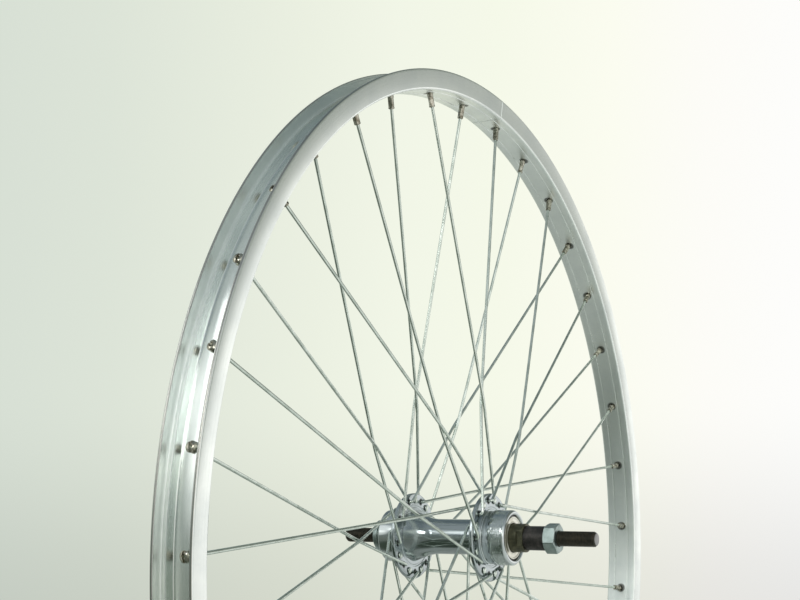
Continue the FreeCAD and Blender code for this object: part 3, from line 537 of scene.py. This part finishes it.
def make_end_cup():
    """Bearing cup of the other end, with a turned ring groove and a rounded mouth."""
    face = FLANGE_AT["nondrive"] + FLANGE_HALF
    end = SHELL_END["nondrive"]
    corners = [
        (SHELL_BORE, face, 0), (END_CUP_RADIUS, face, 0.0), (END_CUP_RADIUS, face + 3.0, 0.1),
        (END_CUP_RADIUS - 0.35, face + 3.3, 0.1), (END_CUP_RADIUS - 0.35, face + 3.9, 0.1),
        (END_CUP_RADIUS, face + 4.2, 0.1), (END_CUP_RADIUS, end, 1.2), (RACE_SEAT, end, 0.25),
        (RACE_SEAT, end - RACE_DEPTH, 0), (SHELL_BORE, end - RACE_DEPTH, 0),
    ]
    piece = spun("end_cup_shell", rounded(corners), 192)
    shade(piece, 35)
    return piece


def make_dust_cap(side):
    """Pressed ring round the cone with a rolled outer edge, a little clear of its seat."""
    sign, low = SIDES[side], SHELL_END[side] - CAP_INSET
    edge = CAP_RADIUS - 0.5
    corners = [
        (CAP_BORE, 0.05, 0.05), (CAP_BORE + 0.5, 0.0, 0.1), (edge, 0.0, 0.15), (edge, 0.8, 0.35),
        (edge - 0.9, 0.8, 0.3), (edge - 1.3, 0.5, 0.3), (CAP_BORE + 0.9, 0.55, 0.3),
        (CAP_BORE + 0.45, 0.78, 0.2), (CAP_BORE, 0.78, 0.15),
    ]
    outline = [(r, sign * (low + y)) for r, y in rounded(corners, steps=4)]
    piece = spun(f"pressed_cap_{side}", outline, 160)
    shade(piece, 40)
    return piece


# ---------------------------------------------------------------- axle group

def make_axle():
    """Solid axle with rolled threads at both ends and a plain middle."""
    angles = full_turn(64)
    thread_from, per_turn, thread_depth = 38.0, 8, 0.42
    count = int((AXLE_END - AXLE_CHAMFER - thread_from) / AXLE_PITCH * per_turn)
    half = np.linspace(thread_from, AXLE_END - AXLE_CHAMFER - 0.15, count)
    tip, rim_of_tip = AXLE_RADIUS - 1.15, AXLE_RADIUS - 1.0
    rows = [(0.0, -AXLE_END), (tip, -AXLE_END), (rim_of_tip, -AXLE_END + 0.08)]
    for y in list(-half[::-1]) + list(half):
        phase = (y / AXLE_PITCH - angles / math.tau) % 1.0
        wave = np.abs(phase * 2 - 1)
        fade = min(1.0, (abs(y) - thread_from) / AXLE_PITCH)
        rows.append((AXLE_RADIUS - thread_depth * fade * np.clip(wave * 1.25 - 0.12, 0, 1), y))
    rows += [(rim_of_tip, AXLE_END - 0.08), (tip, AXLE_END), (0.0, AXLE_END)]
    piece = turned("axle_rod", rows, angles, closed=False)
    shade(piece, 50)
    return piece


def make_cone(side):
    """Bearing cone: ball track, body, spanner flats and a broken outer edge."""
    sign, end = SIDES[side], CONE_END[side]
    ball_at, track, clearance = SHELL_END[side] - 5.0, 10.0, 3.375
    neck = track - clearance
    outline = [(AXLE_RADIUS, ball_at - 2.2), (neck - 0.3, ball_at - 2.2), (neck, ball_at - 1.9)]
    outline += [(neck, ball_at - 1.0), (neck, ball_at)]
    for i in range(9):
        angle = math.radians(8 * i)
        radius = track - clearance * math.cos(angle)
        if radius < CONE_RADIUS - 0.25:
            outline.append((radius, ball_at + clearance * math.sin(angle)))
    outline += [(CONE_RADIUS - 0.2, ball_at + 3.25), (CONE_RADIUS, ball_at + 3.45)]
    flat_from = end - CONE_FLAT_LENGTH
    outline += [(CONE_RADIUS, flat_from - 0.05), (CONE_RADIUS, flat_from), (CONE_RADIUS, flat_from + 0.2),
                (CONE_RADIUS, end - 2.0), (CONE_RADIUS, end - 1.2), (CONE_RADIUS - 0.18, end - 1.0),
                (CONE_RADIUS - 0.18, end - 0.75), (CONE_RADIUS, end - 0.6),
                (CONE_RADIUS - 0.05, end - 0.3), (CONE_RADIUS - 0.35, end), (AXLE_RADIUS, end)]

    def flats(angle, radius, y):
        if abs(y) >= flat_from - 0.01 and abs(math.cos(angle)) > 0.5:
            return CONE_FLAT / abs(math.cos(angle))
        return radius

    piece = spun(f"cone_{side}", [(r, sign * y) for r, y in outline], 180, limit=flats)
    shade(piece, 30)
    return piece


def make_spacer():
    """Sleeve between the cone and the locknut, with broken edges."""
    corners = [(AXLE_RADIUS, CONE_END["drive"], 0), (SPACER_RADIUS, CONE_END["drive"], 0.35),
               (SPACER_RADIUS, LOCKNUT_INNER, 0.35), (AXLE_RADIUS, LOCKNUT_INNER, 0)]
    piece = spun("axle_sleeve", [(r, -y) for r, y in rounded(corners)], 128)
    shade(piece, 40)
    return piece


def make_locknut():
    """Hexagon locknut: a prism with softened corners inside a doubly chamfered disc."""
    corner = LOCKNUT_APOTHEM / math.cos(math.radians(30))
    drop, blunted = (corner - LOCKNUT_FACE) / 2, corner - 0.14
    disc = spun("hex_locknut", [(r, -y) for r, y in rounded([
        (AXLE_RADIUS, LOCKNUT_INNER + 0.4, 0), (AXLE_RADIUS + 0.4, LOCKNUT_INNER, 0),
        (LOCKNUT_FACE, LOCKNUT_INNER, 0.1), (corner + 0.2, LOCKNUT_INNER + drop, 0),
        (corner + 0.2, LOCKNUT_OUTER - drop, 0), (LOCKNUT_FACE, LOCKNUT_OUTER, 0.1),
        (AXLE_RADIUS + 0.4, LOCKNUT_OUTER, 0), (AXLE_RADIUS, LOCKNUT_OUTER - 0.4, 0),
    ], steps=3)], 240)
    section = []
    for k in range(6):
        middle = math.radians(LOCKNUT_TURN + 60 * k)
        for spread in (-1.6, -0.55, 0.55, 1.6):
            angle = middle + math.radians(spread)
            on_flat = LOCKNUT_APOTHEM / math.cos(math.radians(30 - abs(spread)))
            reach = blunted if abs(spread) < 1 else on_flat
            section.append((reach * math.cos(angle), reach * math.sin(angle)))
    count = len(section)
    points = [(x, y, z) for y in (-LOCKNUT_INNER + 1, -LOCKNUT_OUTER - 1) for x, z in section]
    faces = ring_faces(2, count, False) + [tuple(range(count)), tuple(range(count, 2 * count))]
    prism = add_piece("hex_prism", points, faces)
    combine(disc, prism, "INTERSECT")
    shade(disc, 14)
    return disc


def make_thin_nut():
    """Thin round locknut of the far side, with rounded edges."""
    corners = [(AXLE_RADIUS, THIN_NUT_INNER, 0), (THIN_NUT_RADIUS, THIN_NUT_INNER, 0.4),
               (THIN_NUT_RADIUS, THIN_NUT_OUTER, 0.6), (AXLE_RADIUS, THIN_NUT_OUTER, 0.3)]
    piece = spun("thin_locknut", rounded(corners), 160)
    shade(piece, 40)
    return piece


def make_lockwasher():
    """Flat washer between the far cone and its thin nut."""
    corners = [(AXLE_RADIUS, CONE_END["nondrive"], 0), (LOCKWASHER_RADIUS, CONE_END["nondrive"], 0.2),
               (LOCKWASHER_RADIUS, THIN_NUT_INNER, 0.2), (AXLE_RADIUS, THIN_NUT_INNER, 0)]
    piece = spun("keyed_washer", rounded(corners, steps=3), 128)
    shade(piece, 40)
    return piece


# ---------------------------------------------------------------- material helpers

def add_node(tree, kind, inputs=None, **settings):
    """A node with its settings; an input is given a value or another node's output."""
    node = tree.nodes.new(kind)
    for key, value in settings.items():
        setattr(node, key, value)
    for key, value in (inputs or {}).items():
        if isinstance(value, bpy.types.NodeSocket):
            tree.links.new(value, node.inputs[key])
        else:
            node.inputs[key].default_value = value
    return node


def maths(tree, operation, first, second=0.0, third=0.0, clamp=False):
    node = add_node(tree, "ShaderNodeMath", {0: first, 1: second, 2: third}, operation=operation)
    node.use_clamp = clamp
    return node.outputs[0]


def noise(tree, vector, scale, detail, roughness):
    node = add_node(tree, "ShaderNodeTexNoise",
                    {"Vector": vector, "Scale": scale, "Detail": detail, "Roughness": roughness})
    return node.outputs["Fac"]


def ranged(tree, value, low, high, to_low, to_high):
    """Map a value from one range to another, clamped and smooth."""
    inputs = {"Value": value, "From Min": low, "From Max": high, "To Min": to_low, "To Max": to_high}
    return add_node(tree, "ShaderNodeMapRange", inputs, interpolation_type="SMOOTHSTEP").outputs[0]


def mask(tree, value, low, high, amount=1.0):
    """Nothing below the low value, and the whole amount above the high one."""
    return ranged(tree, value, low, high, 0.0, amount)


def blended(tree, factor, first, second):
    """Mix of two colours; each is a colour or another node's output."""
    node = tree.nodes.new("ShaderNodeMix")
    node.data_type = "RGBA"
    for socket, value in ((node.inputs[0], factor), (node.inputs[6], first), (node.inputs[7], second)):
        if isinstance(value, bpy.types.NodeSocket):
            tree.links.new(value, socket)
        else:
            socket.default_value = value if socket is node.inputs[0] else (*value, 1.0)
    return node.outputs[2]


def new_material(name, metallic):
    """Material with its node tree, shader and the object's own coordinates."""
    material = bpy.data.materials.new(name)
    material.use_nodes = True
    tree = material.node_tree
    shader = tree.nodes["Principled BSDF"]
    shader.inputs["Metallic"].default_value = metallic
    position = add_node(tree, "ShaderNodeTexCoord").outputs["Object"]
    return material, tree, shader, position


def bump(tree, shader, height, distance, strength):
    inputs = {"Height": height, "Distance": distance, "Strength": strength}
    node = add_node(tree, "ShaderNodeBump", inputs)
    tree.links.new(node.outputs[0], shader.inputs["Normal"])


def vector_length(tree, vector):
    return add_node(tree, "ShaderNodeVectorMath", {0: vector}, operation="LENGTH").outputs["Value"]


def facing(tree, direction, axis):
    """Cosine of the angle between a direction and an axis."""
    node = add_node(tree, "ShaderNodeVectorMath", {0: direction, 1: axis}, operation="DOT_PRODUCT")
    return node.outputs["Value"]


def axle_coordinates(tree, position):
    """Distance from the axle and place along it."""
    split = add_node(tree, "ShaderNodeSeparateXYZ", {0: position})
    flat = add_node(tree, "ShaderNodeCombineXYZ", {0: split.outputs[0], 2: split.outputs[2]})
    return vector_length(tree, flat.outputs[0]), split.outputs[1]


def turned_vector(tree, position):
    """Coordinates that are the same all the way round the axle, for turned or drawn lines."""
    radius, along = axle_coordinates(tree, position)
    return add_node(tree, "ShaderNodeCombineXYZ", {0: radius, 1: along}).outputs[0]


# ---------------------------------------------------------------- materials, with lengths in metres

# Half a step puts a hole in the middle of its step; the whole ones keep the count above zero.
HALF_STEP = 100.5


def hole_distance(tree, position, step, circle, out, half_step):
    """Distance from the nearest hole of an even ring; out is how far a point lies off the ring."""
    split = add_node(tree, "ShaderNodeSeparateXYZ", {0: position})
    turn = maths(tree, "ARCTAN2", split.outputs[2], split.outputs[0])
    places = maths(tree, "MULTIPLY_ADD", turn, 1 / step, half_step)
    share = maths(tree, "SUBTRACT", maths(tree, "FRACT", places), 0.5)
    around = maths(tree, "MULTIPLY", share, step * circle * MM)
    flat = add_node(tree, "ShaderNodeCombineXYZ", {0: around, 1: out})
    return vector_length(tree, flat.outputs[0])


def rim_alloy():
    """Polished aluminium with drawn lines round the hoop, haze and small nicks, a painted dark reflection
    on the outer lip and painted shade round the spoke holes on the hub side.
    """
    bright, hazy, line_grey = (0.91, 0.945, 0.905), (0.81, 0.85, 0.825), (0.66, 0.69, 0.69)
    # The last two colours are a painted dark reflection on the outer lip and painted shade round the
    # spoke holes.
    nick_grey, lip_dark_reflection, hole_ring_black = (0.40, 0.40, 0.38), (0.30, 0.29, 0.26), (0.06, 0.06, 0.05)
    material, tree, shader, position = new_material("polished_alloy", 1.0)
    radius, along = axle_coordinates(tree, position)
    lines = noise(tree, turned_vector(tree, position), 2600.0, 2.0, 0.6)
    broad = noise(tree, turned_vector(tree, position), 420.0, 2.0, 0.5)
    haze = noise(tree, position, 30.0, 4.0, 0.6)
    nicks = noise(tree, position, 900.0, 2.0, 0.5)
    colour = blended(tree, mask(tree, haze, 0.35, 0.7), bright, hazy)
    colour = blended(tree, mask(tree, lines, 0.55, 0.8, 0.25), colour, line_grey)
    colour = blended(tree, mask(tree, nicks, 0.72, 0.80, 0.5), colour, nick_grey)
    # Painted dark reflection: a thin darker line on the outermost half millimetre of the rim's lip.
    lip = mask(tree, radius, (RIM_OUTER - 0.5) * MM, (RIM_OUTER - 0.15) * MM, 0.75)
    colour = blended(tree, lip, colour, lip_dark_reflection)
    hub_side = ranged(tree, radius, (RIM_INNER + 0.1) * MM, (RIM_INNER + 0.6) * MM, 1.0, 0.0)
    # Painted shade: the colour goes near black close to each spoke hole on the hub side.
    from_hole = hole_distance(tree, position, math.radians(RIM_STEP), WELL_RADIUS, along, HALF_STEP)
    painted_hole_shade = maths(tree, "MULTIPLY", ranged(tree, from_hole, 0.0026, 0.0040, 0.85, 0.0), hub_side)
    colour = blended(tree, painted_hole_shade, colour, hole_ring_black)
    tree.links.new(colour, shader.inputs["Base Color"])
    dull = maths(tree, "MULTIPLY_ADD", haze, 0.12, 0.13)
    dull = maths(tree, "MULTIPLY_ADD", broad, 0.08, dull)
    dull = maths(tree, "MULTIPLY_ADD", hub_side, 0.16, dull)
    wall_from, wall_to = (SEAT_OUTER_Y + 0.2) * MM, (SEAT_OUTER_Y + 0.5) * MM
    between_walls = ranged(tree, maths(tree, "ABSOLUTE", along), wall_from, wall_to, 1.0, 0.0)
    on_seats = mask(tree, radius, (BEAD_SEAT - 0.7) * MM, (BEAD_SEAT - 0.2) * MM)
    dull = maths(tree, "MULTIPLY_ADD", maths(tree, "MULTIPLY", between_walls, on_seats), 0.12, dull)
    tree.links.new(dull, shader.inputs["Roughness"])
    return material


def hub_chrome(name, base):
    """Chrome with faint turning marks, wiping haze, a few pits and darker, ragged rings round the spoke
    holes.
    """
    pit_brown, hole_ring_black = (0.22, 0.19, 0.15), (0.05, 0.055, 0.05)
    material, tree, shader, position = new_material(name, 1.0)
    haze = noise(tree, position, 90.0, 4.0, 0.6)
    pits = noise(tree, position, 1500.0, 2.0, 0.5)
    lines = noise(tree, turned_vector(tree, position), 1800.0, 1.0, 0.5)
    ring_noise = noise(tree, position, 420.0, 3.0, 0.6)
    colour = blended(tree, mask(tree, pits, 0.68, 0.76, 0.7), base, pit_brown)
    radius, along = axle_coordinates(tree, position)
    # Darker rings round the flange's spoke holes, with a ragged edge from noise.
    out = maths(tree, "SUBTRACT", radius, HOLE_CIRCLE * MM)
    staggered = ranged(tree, along, 0.030, 0.032, HALF_STEP, HALF_STEP + 0.5)
    from_hole = hole_distance(tree, position, math.radians(2 * RIM_STEP), HOLE_CIRCLE, out, staggered)
    reach = maths(tree, "MULTIPLY_ADD", ring_noise, 0.0014, from_hole)
    colour = blended(tree, ranged(tree, reach, 0.0024, 0.0034, 0.9, 0.0), colour, hole_ring_black)
    tree.links.new(colour, shader.inputs["Base Color"])
    tree.links.new(maths(tree, "MULTIPLY_ADD", haze, 0.12, 0.05), shader.inputs["Roughness"])
    bump(tree, shader, lines, 0.00001, 0.08)
    return material


def plated_steel(name, pale, dark, roughness, blotch_scale):
    """Zinc or nickel plating gone dull in blotches, with darker freckles."""
    material, tree, shader, position = new_material(name, 1.0)
    blotch = noise(tree, position, blotch_scale, 4.0, 0.6)
    freckle = noise(tree, position, 1400.0, 3.0, 0.6)
    darkest = tuple(0.35 * c for c in dark)
    colour = blended(tree, mask(tree, blotch, 0.35, 0.68), pale, dark)
    colour = blended(tree, mask(tree, freckle, 0.66, 0.76, 0.5), colour, darkest)
    tree.links.new(colour, shader.inputs["Base Color"])
    dull = maths(tree, "MULTIPLY_ADD", blotch, 0.25, roughness - 0.12)
    tree.links.new(dull, shader.inputs["Roughness"])
    bump(tree, shader, freckle, 0.00002, 0.08)
    return material


def blackened_steel(name, base, brown, roughness, metallic=0.75):
    """Oil-blackened steel, rubbed brown in places, with turning marks."""
    material, tree, shader, position = new_material(name, metallic)
    lines = noise(tree, turned_vector(tree, position), 2200.0, 2.0, 0.5)
    rub = noise(tree, position, 260.0, 4.0, 0.65)
    colour = blended(tree, mask(tree, rub, 0.4, 0.7), base, brown)
    tree.links.new(colour, shader.inputs["Base Color"])
    tree.links.new(maths(tree, "MULTIPLY_ADD", rub, 0.3, roughness - 0.15), shader.inputs["Roughness"])
    bump(tree, shader, lines, 0.00003, 0.3)
    return material


def axle_steel():
    """Blackened axle whose sawn ends are bare grey steel."""
    material = blackened_steel("black_axle", (0.030, 0.030, 0.022), (0.060, 0.052, 0.036), 0.40)
    tree = material.node_tree
    shader = tree.nodes["Principled BSDF"]
    position = add_node(tree, "ShaderNodeTexCoord").outputs["Object"]
    _, along = axle_coordinates(tree, position)
    from_middle = maths(tree, "ABSOLUTE", along)
    end = mask(tree, from_middle, (AXLE_END - 0.25) * MM, (AXLE_END - 0.05) * MM)
    saw = noise(tree, position, 1600.0, 3.0, 0.6)
    bare = blended(tree, saw, (0.42, 0.42, 0.41), (0.24, 0.23, 0.22))
    old = shader.inputs["Base Color"].links[0].from_socket
    tree.links.new(blended(tree, end, old, bare), shader.inputs["Base Color"])
    return material


def worn_metal(name, colour, roughness, scale):
    """Bare steel or alloy with light wear."""
    material, tree, shader, position = new_material(name, 1.0)
    wear = noise(tree, position, scale, 3.0, 0.5)
    darker = tuple(0.6 * c for c in colour)
    tree.links.new(blended(tree, wear, colour, darker), shader.inputs["Base Color"])
    tree.links.new(maths(tree, "MULTIPLY_ADD", wear, 0.2, roughness - 0.1), shader.inputs["Roughness"])
    return material


# ---------------------------------------------------------------- studio

CAMERA_PLACE = Vector((-795.48, -398.30, 31.55)) * MM
CAMERA_TURN = Euler((math.radians(97.9257), 0, math.radians(299.3737))).to_matrix()
CAMERA_RIGHT, CAMERA_UP = CAMERA_TURN.col[0].copy(), CAMERA_TURN.col[1].copy()
LENS, SENSOR = 60.7, 36.0


def make_camera():
    """Camera behind the wheel on its drive side, near the height of the hub and tilted up."""
    data = bpy.data.cameras.new("camera")
    data.lens, data.sensor_width = LENS, SENSOR
    data.clip_start, data.clip_end = 0.01, 50.0
    camera = add_object("camera", data)
    camera.matrix_world = Matrix.Translation(CAMERA_PLACE) @ CAMERA_TURN.to_4x4()
    bpy.context.scene.camera = camera


def backdrop_colour(tree, direction):
    """Pale backdrop, greenish grey at the left and warm white at the right, darker low down."""
    across = facing(tree, direction, CAMERA_RIGHT)
    place = add_node(tree, "ShaderNodeMapRange", {"Value": across, "From Min": -0.28, "From Max": 0.28})
    ramp = add_node(tree, "ShaderNodeValToRGB", {"Fac": place.outputs[0]})
    stops = [(0.0, (0.686, 0.745, 0.665)), (0.13, (0.72, 0.775, 0.685)), (0.38, (0.83, 0.87, 0.755)),
             (0.5, (0.885, 0.92, 0.80)), (0.63, (0.915, 0.945, 0.815)), (0.77, (0.965, 0.973, 0.87)),
             (0.89, (0.98, 0.973, 0.93)), (1.0, (0.982, 0.982, 0.965))]
    elements = ramp.color_ramp.elements
    elements[0].position, elements[0].color = stops[0][0], (*stops[0][1], 1)
    elements[1].position, elements[1].color = stops[-1][0], (*stops[-1][1], 1)
    for spot, colour in stops[1:-1]:
        elements.new(spot).color = (*colour, 1)
    light = ranged(tree, facing(tree, direction, CAMERA_UP), -0.24, -0.06, 0.80, 1.0)
    return add_node(tree, "ShaderNodeVectorMath", {0: ramp.outputs[0], "Scale": light},
                    operation="SCALE").outputs[0]


def make_world():
    """Pale backdrop for what the camera and the metal see; soft light for the rest."""
    world = bpy.data.worlds.new("studio")
    bpy.context.scene.world = world
    world.use_nodes = True
    tree = world.node_tree
    tree.nodes.clear()
    direction = add_node(tree, "ShaderNodeTexCoord").outputs["Generated"]
    path = add_node(tree, "ShaderNodeLightPath")
    seen = maths(tree, "MAXIMUM", path.outputs["Is Camera Ray"], path.outputs["Is Glossy Ray"])
    seen = maths(tree, "MAXIMUM", seen, path.outputs["Is Transmission Ray"])
    soft = add_node(tree, "ShaderNodeBackground", {"Color": (0.93, 0.96, 1.0, 1), "Strength": 0.75})
    backdrop = backdrop_colour(tree, direction)
    pale = add_node(tree, "ShaderNodeBackground", {"Color": backdrop, "Strength": 1.0})
    mix = add_node(tree, "ShaderNodeMixShader", {0: seen, 1: soft.outputs[0], 2: pale.outputs[0]})
    output = add_node(tree, "ShaderNodeOutputWorld")
    tree.links.new(mix.outputs[0], output.inputs[0])


def make_floor():
    """Pale floor that fades into the backdrop."""
    radius, fade = 1.6, 0.6
    mesh = bpy.data.meshes.new("floor")
    work = bmesh.new()
    bmesh.ops.create_circle(work, cap_ends=True, radius=radius, segments=96)
    work.to_mesh(mesh)
    work.free()
    floor = add_object("floor", mesh)
    floor.location.z = FLOOR_LEVEL
    material, tree, shader, position = new_material("pale_floor", 0.0)
    grain = noise(tree, position, 40.0, 3.0, 0.5)
    colour = blended(tree, grain, (0.80, 0.83, 0.77), (0.76, 0.79, 0.73))
    tree.links.new(colour, shader.inputs["Base Color"])
    shader.inputs["Roughness"].default_value = 0.8
    solid = ranged(tree, vector_length(tree, position), fade, radius - 0.05, 1.0, 0.0)
    tree.links.new(solid, shader.inputs["Alpha"])
    mesh.materials.append(material)


def lobe(tree, direction, axis, inner, outer, amount):
    """Soft round patch about an axis: its amount inside the inner angle, zero past the outer."""
    edge, core = math.cos(math.radians(outer)), math.cos(math.radians(inner))
    return mask(tree, facing(tree, direction, Vector(axis).normalized()), edge, core, amount)


# Each row: where it stands seen from the hub, its inner and outer angle, and its amount.
FLAGS = [
    ((-0.893, 0.416, -0.174), 35, 80, 0.78),
    ((-0.63, 0.394, -0.67), 16, 42, 1.0),
    ((0.706, -0.656, 0.270), 13, 19.5, 0.76),
    ((0.187, 0.464, -0.866), 32, 60, 0.5),
]
OPENING = ((-0.926, -0.05, 0.375), 6, 16, 0.8)
PANELS = [
    ((-0.652, 0.630, 0.423), 9, 17, 0.65),
    ((-0.394, 0.630, 0.669), 12, 44, 0.26),
    ((-0.660, -0.630, 0.410), 12, 24, 0.70),
    ((-0.394, -0.630, 0.669), 12, 44, 0.24),
    ((-0.741, 0.644, 0.191), 5, 11, 0.60),
    ((-0.794, 0.404, 0.454), 4, 9, 0.7),
    ((0.923, -0.382, 0.052), 6, 11, 0.25),
]
FAR_END = ((0.706, -0.656, 0.270), 22, 60, 1.0)


def flag_colour(tree, direction, height):
    """Deep green low down, deep blue high up, and greener towards the far end."""
    colour = blended(tree, mask(tree, height, -0.3, 0.5), (0.06, 0.08, 0.06), (0.105, 0.15, 0.18))
    return blended(tree, lobe(tree, direction, *FAR_END), colour, (0.105, 0.135, 0.10))


def make_flags():
    """Dark ceiling, dark flags and pale panels round the wheel, seen only as reflections.

    They are one shell, flat where it lies on the floor and clear where nothing stands.
    """
    mesh = bpy.data.meshes.new("flags")
    low = FLOOR_LEVEL + 0.0001
    work = bmesh.new()
    bmesh.ops.create_uvsphere(work, u_segments=64, v_segments=48, radius=4.0)
    for vert in work.verts:
        if vert.co.z < low:
            vert.co *= low / vert.co.z
    work.to_mesh(mesh)
    work.free()
    mesh.shade_smooth()
    shell = add_object("flags", mesh)
    material = bpy.data.materials.new("dark_flags")
    material.use_nodes = True
    tree = material.node_tree
    tree.nodes.clear()
    position = add_node(tree, "ShaderNodeTexCoord").outputs["Object"]
    direction = add_node(tree, "ShaderNodeVectorMath", {0: position}, operation="NORMALIZE").outputs[0]
    height = add_node(tree, "ShaderNodeSeparateXYZ", {0: direction}).outputs[2]
    dark = mask(tree, height, 0.16, 0.50, 0.90)
    for flag in FLAGS:
        dark = maths(tree, "MAXIMUM", dark, lobe(tree, direction, *flag))
    dark = maths(tree, "SUBTRACT", dark, lobe(tree, direction, *OPENING), clamp=True)
    panel = 0.0
    for pale in PANELS:
        panel = maths(tree, "ADD", panel, lobe(tree, direction, *pale))
    colour = flag_colour(tree, direction, height)
    glow = add_node(tree, "ShaderNodeEmission", {"Color": colour, "Strength": 1.0})
    clear = add_node(tree, "ShaderNodeBsdfTransparent")
    mix = add_node(tree, "ShaderNodeMixShader", {0: dark, 1: clear.outputs[0], 2: glow.outputs[0]})
    light = add_node(tree, "ShaderNodeEmission", {"Color": (1.0, 1.0, 0.97, 1), "Strength": panel})
    both = add_node(tree, "ShaderNodeAddShader", {0: mix.outputs[0], 1: light.outputs[0]})
    output = add_node(tree, "ShaderNodeOutputMaterial")
    tree.links.new(both.outputs[0], output.inputs[0])
    mesh.materials.append(material)
    for ray in ("camera", "diffuse", "transmission", "volume_scatter", "shadow"):
        setattr(shell, "visible_" + ray, False)


def make_lamp(name, place, size, watts, colour, in_metal=True):
    """Soft lamp of a width and a height that looks at the hub; in_metal lets reflections show it."""
    data = bpy.data.lights.new(name, "AREA")
    data.shape, data.energy, data.color = "RECTANGLE", watts, colour
    data.size, data.size_y = size
    lamp = add_object(name, data)
    lamp.location = place
    lamp.rotation_mode = "QUATERNION"
    lamp.rotation_quaternion = Vector(place).to_track_quat("Z", "Y")
    lamp.visible_glossy = in_metal


# ---------------------------------------------------------------- put together

def paint(thing, material):
    thing.data.materials.clear()
    thing.data.materials.append(material)


def dress(piece, body, material, node):
    """Give a piece its material and body, and let it stand for a CAD node."""
    paint(piece, material)
    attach(piece, body)
    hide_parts(node)


alloy = rim_alloy()
chrome = hub_chrome("bright_chrome", (0.57, 0.61, 0.61))
# A darker copy of the same chrome for the barrel and flanges: painted shade.
shaded_chrome = hub_chrome("shaded_chrome", (0.44, 0.485, 0.495))
wire = plated_steel("drawn_zinc_wire", (0.74, 0.80, 0.74), (0.54, 0.60, 0.54), 0.21, 120.0)
nickel = plated_steel("nickel_brass", (0.56, 0.54, 0.46), (0.20, 0.18, 0.13), 0.20, 380.0)
zinc = plated_steel("zinc_plate", (0.41, 0.48, 0.46), (0.30, 0.365, 0.345), 0.36, 220.0)
cap_steel = plated_steel("cream_plate", (0.82, 0.81, 0.73), (0.66, 0.64, 0.54), 0.30, 200.0)
black_axle = axle_steel()
black_sleeve = blackened_steel("brown_black_sleeve", (0.045, 0.043, 0.040), (0.095, 0.085, 0.078), 0.45)
cone_steel = blackened_steel("olive_black_cone", (0.07, 0.072, 0.045), (0.14, 0.135, 0.085), 0.38)
# Near-black race: oil, and painted shade in the narrow gap between the bearing bore and the dust cap.
oily_shaded_race_steel = blackened_steel("oily_shaded_race", (0.012, 0.011, 0.010), (0.03, 0.024, 0.018), 0.3, 0.5)
ball_steel = worn_metal("ball_steel", (0.75, 0.75, 0.76), 0.15, 500.0)
cage_steel = worn_metal("cage_steel", (0.55, 0.54, 0.50), 0.35, 400.0)
pin_alloy = worn_metal("pin_alloy", (0.62, 0.62, 0.63), 0.4, 300.0)

dress(make_rim(), "wheel", alloy, "rim")
for side_name, nipple_set in make_nipples().items():
    dress(nipple_set, "wheel", nickel, f"{side_name}_nipples")
for number in range(SPOKE_COUNT):
    spoke_side = lacing(number)[0]
    dress(make_spoke(number), "wheel", wire, f"spoke_{spoke_side}_{number // 2 + 1:02d}")
dress(make_barrel(), "wheel", shaded_chrome, "hub_barrel")
for side_name in SIDES:
    dress(make_flange(side_name), "wheel", shaded_chrome, f"{side_name}_flange")
    dress(make_dust_cap(side_name), "wheel", cap_steel, f"{side_name}_dust_cap")
    dress(make_cone(side_name), "axle_assembly", cone_steel, f"{side_name}_cone")
    paint(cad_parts[f"{side_name}_race"], oily_shaded_race_steel)
    paint(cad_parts[f"{side_name}_balls"], ball_steel)
    paint(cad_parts[f"{side_name}_ball_retainer"], cage_steel)
dress(make_boss(), "wheel", chrome, "freewheel_boss")
dress(make_end_cup(), "wheel", chrome, "nondrive_end_cup")
paint(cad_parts["rim_joint_pins"], pin_alloy)
dress(make_axle(), "axle_assembly", black_axle, "axle")
dress(make_spacer(), "axle_assembly", black_sleeve, "drive_spacer")
dress(make_locknut(), "axle_assembly", zinc, "drive_locknut")
dress(make_thin_nut(), "axle_assembly", zinc, "nondrive_locknut")
dress(make_lockwasher(), "axle_assembly", zinc, "nondrive_lockwasher")

make_world()
make_floor()
make_flags()
make_lamp("key", (-1.77, 0.0, 0.80), (0.45, 0.45), 4.0, (1.0, 0.98, 0.97))
make_lamp("fill", (0.6, -1.6, 1.5), (1.2, 1.2), 14.0, (1.0, 0.99, 0.97), in_metal=False)
make_lamp("glint", (-0.41, 0.185, 0.225), (0.05, 0.20), 0.08, (1.0, 1.0, 1.0))
make_camera()
bpy.context.scene.view_settings.view_transform = "Standard"
